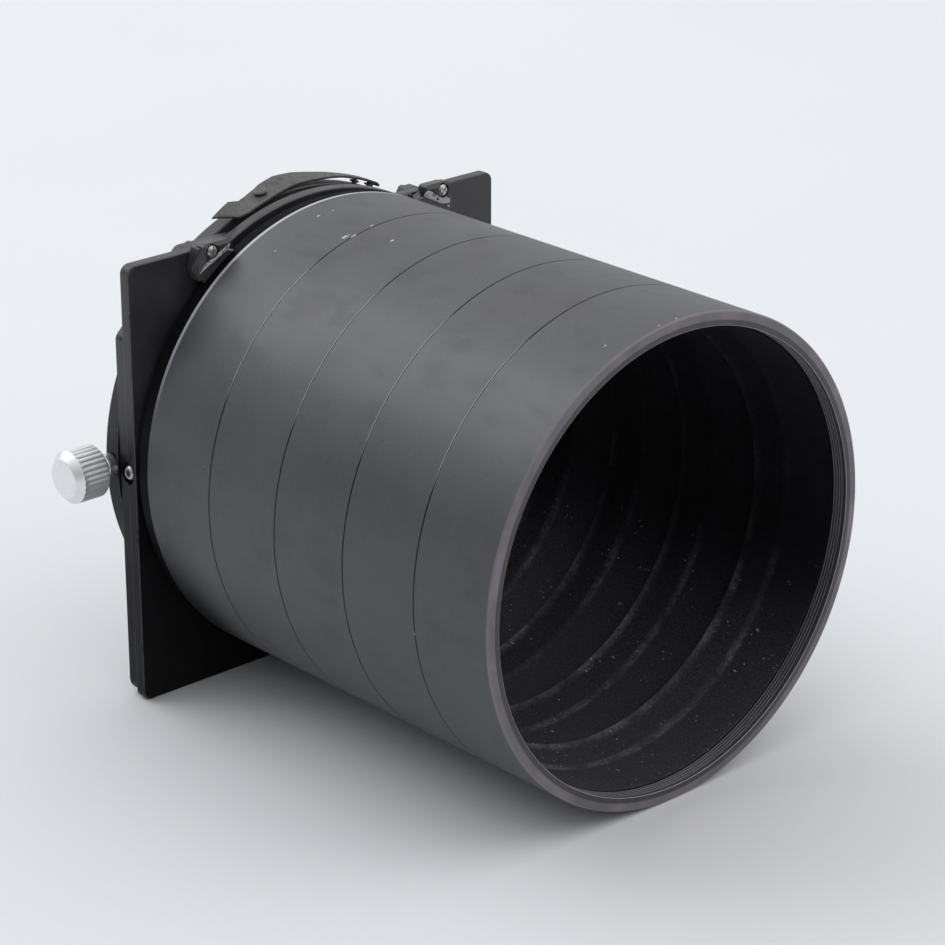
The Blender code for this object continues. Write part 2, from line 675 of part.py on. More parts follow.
def retaining_lug(side):
    """A corner block beside the flange, with a foot that reaches into the groove behind it."""
    word = "left" if side < 0 else "right"

    def mirrored(outline):
        return [(side * x, z) for x, z in outline]

    inner_edge = arc_points((0, 0), LUG_BODY_RADIUS, *LUG_BODY_ARC, 5)
    body = inner_edge + rounded(LUG_BODY_CORNERS, 3)
    foot = arc_points((0, 0), LUG_BODY_RADIUS - LUG_FOOT_OVERLAP, *LUG_FOOT_ARC, 5)
    foot += LUG_FOOT_CORNERS
    lug = upright_plate(f"retaining_lug_{word}", [mirrored(body)], (LUG_BODY_Y, LUG_Y[1]), "paint")
    combine(lug, prism(f"lug_block_{word}", mirrored(rounded(LUG_BLOCK_CORNERS, 3)),
                       (LUG_Y[0], LUG_BACK_SCREW_FRONT)), "UNION")
    combine(lug, prism(f"lug_foot_{word}", mirrored(foot), (LUG_FOOT_Y, LUG_Y[1])), "UNION")
    combine(lug, lug_side_profile(f"lug_side_{word}"), "INTERSECT")
    x, z = LUG_SCREW_PLACE
    counterbore_front = LUG_Y[0] - CUTTER_OVERRUN
    combine(lug, rod_cutter(f"lug_counterbore_{word}", (side * x, counterbore_front, z),
                            TO_THE_BACK, LUG_COUNTERBORE_RADIUS,
                            LUG_SCREW_HEAD[1] + FIT_GAP - counterbore_front))
    combine(lug, rod_cutter(f"lug_screw_hole_{word}", (side * x, LUG_Y[0], z), TO_THE_BACK,
                            BACK_SCREW_HOLE_RADIUS, LUG_SCREW_DEPTH + FIT_GAP))
    combine(lug, bpy.data.objects[f"lug_back_hole_{word}"])
    head_front, head_back = LUG_SCREW_HEAD
    shank = BACK_SCREW_HOLE_RADIUS - FIT_GAP
    turned(f"lug_screw_{word}", [
        (0, head_front),
        (LUG_SCREW_HEAD_RADIUS - LUG_SCREW_HEAD_EDGE, head_front),
        (LUG_SCREW_HEAD_RADIUS, head_front + LUG_SCREW_HEAD_EDGE),
        (LUG_SCREW_HEAD_RADIUS, head_back),
        (shank, head_back),
        (shank, LUG_Y[0] + LUG_SCREW_DEPTH),
        (0, LUG_Y[0] + LUG_SCREW_DEPTH),
    ], "blackened", (side * x, 0, z), TO_THE_BACK, SMALL_STEPS)
    headed_back_screw(f"lug_back_screw_{word}", (side * LUG_BACK_SCREW_PLACE[0],
                                                 LUG_BACK_SCREW_PLACE[1]),
                      LUG_BACK_SCREW_FRONT, REAR_PLATE_Y[1], shank, BACK_SCREW_HEAD_RADIUS)


def headed_back_screw(name, spot, front, seat, radius, head_radius):
    """A screw put in from behind: its head stands just off the seat it pulls on."""
    head_top = seat + FIT_GAP + BACK_SCREW_HEAD_HEIGHT
    turned(name, [
        (0, front),
        (radius, front),
        (radius, seat + FIT_GAP),
        (head_radius, seat + FIT_GAP),
        (head_radius, head_top - FIT_GAP),
        (head_radius - FIT_GAP, head_top),
        (0, head_top),
    ], "blackened", (spot[0], 0, spot[1]), TO_THE_BACK, SMALL_STEPS)


def ring_screws():
    for number, spot in enumerate(ring_screw_spots(), start=1):
        headed_back_screw(f"ring_screw_{number}", spot,
                          FRONT_PLATE_Y[0] + RING_SCREW_HOLE_INSET + FIT_GAP, CLAMP_Y[1],
                          RING_SCREW_HOLE_RADIUS - FIT_GAP, RING_SCREW_HEAD_RADIUS)


def grub_screws():
    """Socket grub screws on the joint of the two plates, one in each side edge."""
    inner, outer = GRUB_SPAN
    for side, word in ((-1, "left"), (1, "right")):
        turned(f"grub_screw_{word}", [
            (0, inner),
            (GRUB_RADIUS, inner),
            (GRUB_RADIUS, outer),
            (GRUB_RADIUS - GRUB_SOCKET_WALL, outer),
            (GRUB_RADIUS - GRUB_SOCKET_WALL, outer - GRUB_SOCKET_DEPTH),
            (0, outer - GRUB_SOCKET_DEPTH),
        ], "blackened", (0, GRUB_Y, GRUB_Z), Vector((side, 0, 0)), SMALL_STEPS)


def build():
    for number in range(1, SECTION_COUNT + 1):
        hood_section(number)
        flock_lining(number)
    flanged_neck()
    front_plate()
    rear_plate()
    ring = lens_clamp_ring()
    felt = clamp_felt()
    thumb_hole = thumb_screw()
    combine(ring, thumb_hole)
    combine(felt, thumb_hole)
    strip = catch_strip()
    ring_hole, strip_hole = catch_pin()
    combine(ring, ring_hole)
    combine(felt, ring_hole)
    combine(strip, strip_hole)
    strip_rivets(ring, strip)
    for side in (-1, 1):
        retaining_lug(side)
    ring_screws()
    grub_screws()
    bpy.context.view_layer.update()


build()
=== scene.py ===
"""Looks for a stacked-ring lens hood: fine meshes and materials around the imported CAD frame.

Lengths are millimetres in the barrel's own frame: its axis on Y, the front rim at y = 0, the
opening facing -Y and +Z up.  `spot` turns such a point into metres in the row frame.  Angles
round the barrel run from +Z towards -X, in degrees.
"""
import json
import math

import bmesh
import bpy
from mathutils import Matrix, Vector, noise


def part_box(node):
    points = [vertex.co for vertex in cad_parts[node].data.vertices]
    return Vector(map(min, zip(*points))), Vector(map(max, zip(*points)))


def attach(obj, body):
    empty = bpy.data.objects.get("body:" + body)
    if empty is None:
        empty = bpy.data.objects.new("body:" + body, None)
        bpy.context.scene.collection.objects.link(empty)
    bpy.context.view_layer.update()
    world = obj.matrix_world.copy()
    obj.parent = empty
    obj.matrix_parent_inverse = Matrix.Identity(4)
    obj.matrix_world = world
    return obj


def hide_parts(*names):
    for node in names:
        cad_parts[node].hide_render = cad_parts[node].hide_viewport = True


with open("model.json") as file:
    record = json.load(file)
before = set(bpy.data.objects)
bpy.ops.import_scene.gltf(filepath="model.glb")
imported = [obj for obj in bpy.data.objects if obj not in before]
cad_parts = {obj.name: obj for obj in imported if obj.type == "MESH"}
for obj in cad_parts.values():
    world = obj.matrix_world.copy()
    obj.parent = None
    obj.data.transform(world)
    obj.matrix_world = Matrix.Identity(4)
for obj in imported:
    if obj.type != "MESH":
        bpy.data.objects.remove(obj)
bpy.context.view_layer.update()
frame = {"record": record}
BODY_OF = {node: body for body, nodes in frame["record"]["behaviour"]["bodies"].items()
           for node in nodes}

MM = 0.001
RIM_LOW, RIM_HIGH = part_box("hood_section_1")
ORIGIN = Vector(((RIM_LOW.x + RIM_HIGH.x) / 2, RIM_LOW.y, (RIM_LOW.z + RIM_HIGH.z) / 2))


def spot(x, y, z):
    """A point of the barrel's frame, in metres in the row frame."""
    return ORIGIN + Vector((x, y, z)) * MM


def span(node, axis):
    """Where a CAD node begins and ends along x, y or z, in the barrel's frame."""
    low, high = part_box(node)
    index = "xyz".index(axis)
    return (low[index] - ORIGIN[index]) / MM, (high[index] - ORIGIN[index]) / MM


def radius_of(node):
    low, high = span(node, "z")
    return (high - low) / 2


# Barrel
BARREL_RADIUS = radius_of("hood_section_1")
SECTION_COUNT = 5
FIT_GAP = 0.15
SECTION_LENGTH = span("hood_section_2", "y")[0] - FIT_GAP
BARREL_LENGTH = SECTION_COUNT * SECTION_LENGTH
JOINT_GAP = 0.20
SECTION_EDGE = 0.14
RIM_EDGE = 0.45
BARREL_BACK_EDGE = 0.35
RIM_BORE_RADIUS = 46.1
RIM_THREAD_END = 3.2
RIM_THREAD_PITCH = 0.72
RIM_THREAD_DEPTH = 0.34
WALL_BORE_RADIUS = 46.5
SPIGOT_RADIUS = 46.2
SPIGOT_LENGTH = 2.0
SPIGOT_BORE_RADIUS = 43.7
SPIGOT_THREAD_PITCH = 0.5
SPIGOT_THREAD_DEPTH = 0.2
CONE_START = 15.5

# Flocked lining
LINING_RADIUS = 46.2
LINING_BORE_RADIUS = 45.7
LINING_START = 3.5
LINING_LIP_RADIUS = 43.4
LINING_LIP_BORE_RADIUS = 42.95
FLOCK_RELIEF = 0.10
FLOCK_LUMP_SIZE = 2.2

# Neck, plates and clamp ring
FLANGE_RADIUS = radius_of("flanged_neck")
FLANGE_BACK = BARREL_LENGTH + 3.2
NECK_RADIUS = 44.6
NECK_BORE_RADIUS = 42.6
NECK_SOCKET_BACK = BARREL_LENGTH + 2.3
PLATE_CORNER = 2.0
PLATE_EDGE = 0.35
FRONT_PLATE_BORE = 44.9
FRONT_PLATE_SHOULDER = 43.4
REAR_PLATE_TOP = 43.2
REAR_PLATE_LOW_TOP = 41.3
REAR_PLATE_CUT_CORNER = 15.5
REAR_PLATE_BASE_CORNER = 3.0
REAR_PLATE_EAR = (26.7, 29.9)
REAR_PLATE_STEP = (-8.0, -6.5)
REAR_PLATE_EDGE = 0.25
REAR_PLATE_BORE = 41.5
HUB_RADIUS = 45.2
CLAMP_RING_BACK = BARREL_LENGTH + 14.4
CLAMP_BORE_RADIUS = 41.2
CLAMP_EDGE = 0.4

# Thumb screw, radial on the -X side
THUMB_Y = sum(span("thumb_knob", "y")) / 2
KNOB_CHAMFER = 1.5
FLUTE_FADE = 1.3
KNOB_FLUTES = 30
FLUTE_DEPTH = 0.30
KNOB_STEPS_PER_FLUTE = 10
SHANK_THREAD_PITCH = 0.45
SHANK_THREAD_DEPTH = 0.22
THUMB_HOLE_RADIUS = 1.45

# Catch strip, pin and rivets: front edge and rear edge of the strip's outer face, from the
# finger tab to the riveted end, as angle, distance from the axis and distance behind the barrel
STRIP_STATIONS = (
    ((26.6, 53.0, 9.0), (18.9, 51.0, 13.0)),
    ((20.5, 49.4, 8.6), (15.5, 49.4, 13.8)),
    ((18.0, 49.2, 8.2), (13.2, 49.3, 14.3)),
    ((12.0, 49.2, 8.7), (9.3, 49.3, 15.4)),
    ((8.0, 49.2, 9.4), (7.3, 49.4, 16.2)),
    ((3.0, 49.2, 10.4), (2.5, 50.0, 16.5)),
    ((-1.0, 49.3, 10.9), (-3.0, 49.9, 16.4)),
    ((-6.0, 49.45, 10.9), (-7.5, 49.9, 15.0)),
    ((-14.0, 49.9, 10.9), (-14.0, 49.95, 13.7)),
    ((-25.6, 49.9, 10.9), (-25.6, 49.9, 13.6)),
    ((-26.6, 49.5, 10.9), (-26.6, 49.5, 13.6)),
)
STRIP_THICKNESS = 0.5
STRIP_EDGE = 0.12
STRIP_TOP_RADIUS = 49.9
PIN_ANGLE = 10.2
PIN_Y = BARREL_LENGTH + 12.3
RIVET_ANGLES = (-19.5, -24.4)

# Retaining lugs and the screws around them
LUG_FRONT, LUG_BACK = span("retaining_lug_left", "y")
LUG_SCREW_PLACE = (30.45, 43.8)
LUG_BACK_SCREW_PLACE = (28.3, 41.7)
LUG_COUNTERBORE_RADIUS = 1.5
LUG_COUNTERBORE_DEPTH = 0.9
LUG_BLOCK_BACK = LUG_FRONT + 2.6
LUG_BODY_FRONT = LUG_FRONT + 1.2
LUG_FOOT_THICKNESS = 0.9
LUG_BLOCK_CORNERS = ((32.4, 45.5, 1.2), (26.0, 45.5, 0.7), (25.7, 43.3, 1.0), (32.3, 39.9, 0.5),
                     (33.7, 38.9, 0.6), (34.2, 40.6, 0.9))
LUG_BODY_CORNERS = ((33.0, 37.4, 0.5), (34.0, 40.4, 0.9), (32.8, 45.0, 1.2), (25.6, 45.0, 0.9))
LUG_FOOT_CORNERS = ((31.4, 38.6), (23.6, 43.9))
LUG_BODY_ARC = (48.9, 60.5, 49.5)
LUG_FOOT_ARC = (47.1, 62.0, 50.0)
LUG_ARC_STEPS = 12
LUG_BEVEL_FACING = Vector((-0.24, -0.84, -0.49)).normalized()
LUG_BEVEL_PLACE = (29.0, 41.6)
LUG_BEVEL_DEPTH = 0.85
LUG_TAPERS = (((32.2, 42.0), (1, -0.9, 0)), ((29.0, 44.8), (0, -1, 1)))
LUG_CUTTER_REACH = 10
RING_SCREW_REACH = 46.8 * math.sqrt(0.5)
GRUB_Y = BARREL_LENGTH + 7.6
GRUB_Z = -0.7
EDGE_POCKET_DEPTH = 1.2
EDGE_POCKET_SIZE = (4.4, 4.8)

# Holes: radii, and how far from the axis the cuts begin
RING_SCREW_HOLE_RADIUS = 1.1
LUG_BACK_HOLE_RADIUS = 0.8
GRUB_HOLE_RADIUS = 1.8
GRUB_HOLE_START = 45.1
RIVET_HOLE_RADIUS = 0.8
RIVET_HOLE_START = 42.7
PIN_HOLE_RADIUS = 1.3
STRIP_PIN_HOLE_RADIUS = 1.0
STRIP_HOLE_START = 48
BORE_HOLE_START = 38

RING_STEPS = 256
SMALL_STEPS = 48
ROUND_STEPS_PER_MM = 4
BACKWARD = Vector((0, 1, 0))


# Mesh tools


def rounded(corners, closed=True, fewest=3):
    """Turns (a, b) or (a, b, radius) corners into (a, b, worn) points, with arcs at the radii.

    `worn` is 1 in the middle of a small edge round and 0 elsewhere.
    """
    points = []
    count = len(corners)
    for index, (a, b, *rest) in enumerate(corners):
        radius = rest[0] if rest else 0.0
        if radius == 0 or (not closed and index in (0, count - 1)):
            points.append((a, b, 0.0))
            continue
        here = Vector((a, b))
        back = (Vector(corners[index - 1][:2]) - here).normalized()
        on = (Vector(corners[(index + 1) % count][:2]) - here).normalized()
        half = back.angle(on) / 2
        center = here + (back + on).normalized() * radius / math.sin(half)
        first = here + back * radius / math.tan(half) - center
        last = here + on * radius / math.tan(half) - center
        start = math.atan2(first.y, first.x)
        sweep = (math.atan2(last.y, last.x) - start + math.pi) % (2 * math.pi) - math.pi
        steps = max(fewest, math.ceil(radius * ROUND_STEPS_PER_MM))
        for step in range(steps + 1):
            turn = start + sweep * step / steps
            worn = 1.0 if radius < 1 and 0 < step < steps else 0.0
            points.append((center.x + radius * math.cos(turn),
                           center.y + radius * math.sin(turn), worn))
    return points


def thread(radius, start, end, pitch, depth, crest=0.0):
    """Zigzag corners between two distances; a negative depth cuts inwards, `crest` is a rounding."""
    turns = round(abs(end - start) / pitch)
    pitch = (end - start) / turns
    corners = []
    for turn in range(turns):
        begin = start + pitch * turn
        corners += [(radius, begin + pitch * 0.10, crest), (radius + depth, begin + pitch * 0.45),
                    (radius + depth, begin + pitch * 0.60), (radius, begin + pitch * 0.95, crest)]
    return corners


def link(name, data):
    item = bpy.data.objects.new(name, data)
    bpy.context.scene.collection.objects.link(item)
    return item


def filled_bmesh(points, faces):
    """A bmesh from points in the barrel's frame, and its vertices in the points' order."""
    work = bmesh.new()
    vertices = [work.verts.new(spot(*point)) for point in points]
    for face in faces:
        work.faces.new([vertices[i] for i in face])
    return work, vertices


def from_bmesh(name, work, worn=()):
    """An object from a bmesh, with a `worn` value for each point where a closed one has them."""
    if worn:
        bmesh.ops.recalc_face_normals(work, faces=work.faces)
    mesh = bpy.data.meshes.new(name)
    work.to_mesh(mesh)
    work.free()
    if worn:
        mesh.attributes.new("worn", "FLOAT", "POINT").data.foreach_set("value", worn)
    return link(name, mesh)


def turned(name, profile, at=(0, 0, 0), axis=BACKWARD, steps=RING_STEPS, relief=None):
    """Turns (radius, distance, worn) points about a line; on the axis they close to one point.

    `relief` may move a point: it takes its turn in radians, radius and distance, and returns
    the new radius and distance.
    """
    axis = Vector(axis).normalized()
    up = Vector((0, 0, 1)) if abs(axis.z) < 0.1 and abs(axis.x) < 0.1 else Vector((0, 1, 0))
    side = up.cross(axis)
    start = Vector(at)
    points, worn, rings = [], [], []
    for radius, distance, wear in profile:
        if radius < 1e-6:
            rings.append([len(points)] * steps)
            points.append(start + axis * distance)
            worn.append(wear)
            continue
        rings.append(range(len(points), len(points) + steps))
        for step in range(steps):
            turn = 2 * math.pi * step / steps
            r, d = relief(turn, radius, distance) if relief else (radius, distance)
            points.append(start + axis * d + (up * math.cos(turn) + side * math.sin(turn)) * r)
            worn.append(wear)
    pairs = list(zip(rings, rings[1:]))
    if profile[0][0] > 1e-6:
        pairs.append((rings[-1], rings[0]))
    faces = []
    for one, two in pairs:
        for step in range(steps):
            after = (step + 1) % steps
            corners = (one[step], one[after], two[after], two[step])
            faces.append(tuple(dict.fromkeys(corners)))
    return from_bmesh(name, filled_bmesh(points, faces)[0], worn)


def arc(radius, start, end, steps):
    """Points on an arc about the barrel's axis, from one angle to another, in degrees from +X."""
    turns = [math.radians(start + (end - start) * step / steps) for step in range(steps + 1)]
    return [(radius * math.cos(turn), radius * math.sin(turn)) for turn in turns]


def circle(radius):
    return arc(radius, 0, 360, RING_STEPS)[:-1]


def inset_loop(loop, distance):
    """Moves a closed loop towards its left-hand side, keeping its corners' angles."""
    moved = []
    for index, point in enumerate(loop):
        here = Vector(point[:2])
        back = (here - Vector(loop[index - 1][:2])).normalized()
        on = (Vector(loop[(index + 1) % len(loop)][:2]) - here).normalized()
        tangent = (back + on).normalized()
        normal = Vector((-tangent.y, tangent.x))
        reach = distance / max(0.5, normal.dot(Vector((-back.y, back.x))))
        moved.append(here + normal * reach)
    return moved


def counterclockwise(loop, wanted=True):
    area = sum(loop[i - 1][0] * loop[i][1] - loop[i][0] * loop[i - 1][1] for i in range(len(loop)))
    return list(loop) if (area > 0) == wanted else list(reversed(loop))


def slab(name, outline, y_span, edge, holes=(), steps=3):
    """A flat plate in XZ between two y values, its outline and holes rounded by `edge`."""
    front, back = y_span
    loops = [counterclockwise(outline)] + [counterclockwise(hole, False) for hole in holes]
    turns = [math.pi / 2 * step / steps for step in range(steps + 1)]
    levels = [(edge * (1 - math.sin(t)), front + edge * (1 - math.cos(t)),
               float(0 < t < math.pi / 2 - 1e-6)) for t in turns]
    levels += [(inset, back + front - y, wear) for inset, y, wear in reversed(levels)]
    points, worn, faces, rims = [], [], [], ([], [])
    for loop in loops:
        rings = []
        for inset, y, wear in levels:
            rings.append(range(len(points), len(points) + len(loop)))
            points += [(p.x, y, p.y) for p in inset_loop(loop, inset)]
            worn += [wear] * len(loop)
        for one, two in zip(rings, rings[1:]):
            faces += [(one[i - 1], one[i], two[i], two[i - 1]) for i in range(len(loop))]
        rims[0].append(rings[0])
        rims[1].append(rings[-1])
    work, vertices = filled_bmesh(points, faces)
    for rim in rims:
        edges = [work.edges.get((vertices[ring[i - 1]], vertices[ring[i]]))
                 for ring in rim for i in range(len(ring))]
        bmesh.ops.triangle_fill(work, use_beauty=True, use_dissolve=False, edges=edges)
    return from_bmesh(name, work, worn)


def block(low, high):
    """A plain box to cut with."""
    work = bmesh.new()
    bmesh.ops.create_cube(work, size=1.0)
    low, high = spot(*low), spot(*high)
    bmesh.ops.scale(work, vec=high - low, verts=work.verts)
    bmesh.ops.translate(work, vec=(low + high) / 2, verts=work.verts)
    return from_bmesh("cutter", work)


def rod(start, axis, radius, length, sides=SMALL_STEPS):
    """A cylinder to cut with, or a prism where it has few sides."""
    return turned("cutter", [(0, 0, 0), (radius, 0, 0), (radius, length, 0), (0, length, 0)],
                  start, axis, sides)


def slot_cutter(at, axis, width, length, depth, turn=0.0):
    """A box that cuts a screwdriver slot of some depth into a head that faces -axis."""
    cutter = block((-length / 2, -width / 2, -depth), (length / 2, width / 2, depth))
    cutter.data.transform(Matrix.Translation(-ORIGIN))
    turning = Vector((0, 0, 1)).rotation_difference(Vector(axis)).to_matrix().to_4x4()
    cutter.data.transform(Matrix.Translation(spot(*at)) @ turning @ Matrix.Rotation(turn, 4, "Z"))
    return cutter


def carve(item, cutters, operation="DIFFERENCE"):
    """Cuts or joins meshes for good, and removes the cutters."""
    for cutter in cutters:
        boolean = item.modifiers.new("carve", "BOOLEAN")
        boolean.operation = operation
        boolean.solver = "EXACT"
        boolean.object = cutter
    settle(item)
    for cutter in cutters:
        bpy.data.objects.remove(cutter)
    return item


def settle(item):
    """Applies an object's modifiers to its mesh."""
    bpy.context.view_layer.update()
    evaluated = item.evaluated_get(bpy.context.evaluated_depsgraph_get())
    item.data = bpy.data.meshes.new_from_object(evaluated)
    item.modifiers.clear()
    return item


def show(item, node, material, sharp_angle=32):
    """Shades a finished piece, gives it its material and lets it stand for its CAD node."""
    item.data.shade_smooth()
    item.data.set_sharp_from_angle(angle=math.radians(sharp_angle))
    normals = item.modifiers.new("normals", "WEIGHTED_NORMAL")
    normals.keep_sharp = True
    settle(item)
    item.data.materials.clear()
    item.data.materials.append(material)
    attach(item, BODY_OF[node])
    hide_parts(node)
    return item


def outward(angle):
    turn = math.radians(angle)
    return Vector((-math.sin(turn), 0, math.cos(turn)))


# Materials


class Look:
    """A Principled material, with short calls that add the procedural nodes feeding it."""

    def __init__(self, name, **inputs):
        self.material = bpy.data.materials.new(name)
        self.material.use_nodes = True
        self.tree = self.material.node_tree
        self.shader = self.tree.nodes["Principled BSDF"]
        self.place = self.tree.nodes.new("ShaderNodeTexCoord").outputs["Object"]
        self.from_rim = self.calc_vector("SUBTRACT", self.place, tuple(ORIGIN))
        self.set(**inputs)

    def feed(self, socket, value):
        if isinstance(value, bpy.types.NodeSocket):
            self.tree.links.new(value, socket)
        elif socket.type == "RGBA":
            socket.default_value = (*value, 1.0)
        else:
            socket.default_value = value

    def set(self, **inputs):
        """Feeds the shader's inputs, named with underscores for spaces."""
        for name, value in inputs.items():
            self.feed(self.shader.inputs[name.replace("_", " ")], value)

    def add(self, kind, feeds, **settings):
        node = self.tree.nodes.new("ShaderNode" + kind)
        for name, value in settings.items():
            setattr(node, name, value)
        for name, value in feeds.items():
            self.feed(node.inputs[name], value)
        return node

    def calc(self, operation, *values):
        return self.add("Math", dict(enumerate(values)), operation=operation).outputs[0]

    def calc_vector(self, operation, *values):
        return self.add("VectorMath", dict(enumerate(values)), operation=operation).outputs[0]

    def times(self, one, two):
        return self.calc("MULTIPLY", one, two)

    def plus(self, one, two):
        return self.calc("ADD", one, two)

    def most(self, one, two):
        return self.calc("MAXIMUM", one, two)

    def length(self, vector):
        return self.add("VectorMath", {0: vector}, operation="LENGTH").outputs["Value"]

    def noise(self, size, detail=2.0, stretch=(1, 1, 1), roughness=0.5):
        """Noise from 0 to 1 whose features are about `size` mm, smaller along a larger stretch."""
        place = self.calc_vector("MULTIPLY", self.from_rim, stretch)
        feeds = {"Vector": place, "Scale": 1 / (size * MM), "Detail": detail,
                 "Roughness": roughness}
        return self.add("TexNoise", feeds).outputs["Fac"]

    def step(self, value, low, high, to_low=0.0, to_high=1.0):
        """Goes smoothly from to_low at `low` to to_high at `high`."""
        feeds = {"Value": value, "From Min": low, "From Max": high, "To Min": to_low,
                 "To Max": to_high}
        return self.add("MapRange", feeds, interpolation_type="SMOOTHSTEP").outputs[0]

    def band(self, axis, low, high, to_low=0.0, to_high=1.0):
        """A step along x, y or z between two places in the barrel's frame, in mm."""
        place = self.add("SeparateXYZ", {"Vector": self.from_rim}).outputs[axis.upper()]
        return self.step(place, low * MM, high * MM, to_low, to_high)

    def mix(self, factor, one, two):
        """`one` where the factor is 0, and `two` where it is 1."""
        feeds = {0: factor, 6: one, 7: two}
        return self.add("Mix", feeds, data_type="RGBA").outputs[2]

    def over(self, base, color, mask, share):
        """Lays a colour over `base` where the mask is 1, at a share of its strength."""
        return self.mix(self.times(mask, share), base, color)

    def specks(self, spacing, size, share, stretch=(1, 1, 1)):
        """1 inside scattered specks of about `size` mm, in a share of cells `spacing` mm wide."""
        ragged = self.calc_vector("MULTIPLY", self.from_rim, stretch)
        wobble = self.add("TexNoise", {"Vector": ragged, "Scale": 1.6 / (size * MM)})
        offset = self.calc_vector("SCALE", wobble.outputs["Color"])
        offset.node.inputs["Scale"].default_value = size * MM * 0.8
        ragged = self.calc_vector("ADD", ragged, offset)
        cells = self.add("TexVoronoi", {"Vector": ragged, "Scale": 1 / (spacing * MM)})
        near = self.step(cells.outputs["Distance"], size / spacing / 2, size / spacing / 3)
        chance = self.add("SeparateColor", {"Color": cells.outputs["Color"]}).outputs[0]
        return self.times(near, self.calc("GREATER_THAN", chance, 1 - share))

    def worn(self, size, low=0.25, high=0.75):
        """The mesh's worn edges, broken up by noise of about `size` mm."""
        edges = self.add("Attribute", {}, attribute_name="worn").outputs["Fac"]
        return self.step(self.times(edges, self.noise(size, 4.0)), low * 0.8, high * 0.8)

    def bump(self, height, distance, strength=1.0, onto=None):
        """Adds relief of about `distance` mm to the shader, on top of an earlier bump if given."""
        feeds = {"Height": height, "Distance": distance * MM, "Strength": strength}
        if onto:
            feeds["Normal"] = onto
        normal = self.add("Bump", feeds).outputs["Normal"]
        self.set(Normal=normal)
        return normal


def scaled(color, factor):
    return tuple(channel * factor for channel in color)


# Small nicks in the barrel's finish: angle, distance behind the rim, size across
NICKS = ((14.4, 81.5, 1.3), (13.1, 80.2, 1.0), (10.0, 71.6, 0.9), (10.4, 93.7, 0.8),
         (25.9, 92.0, 0.5), (97.0, 20.0, 0.7), (7.3, 1.1, 0.5), (2.2, 0.9, 0.5),
         (19.3, 4.6, 0.45), (7.1, 80.6, 0.7), (6.6, 93.2, 0.7))


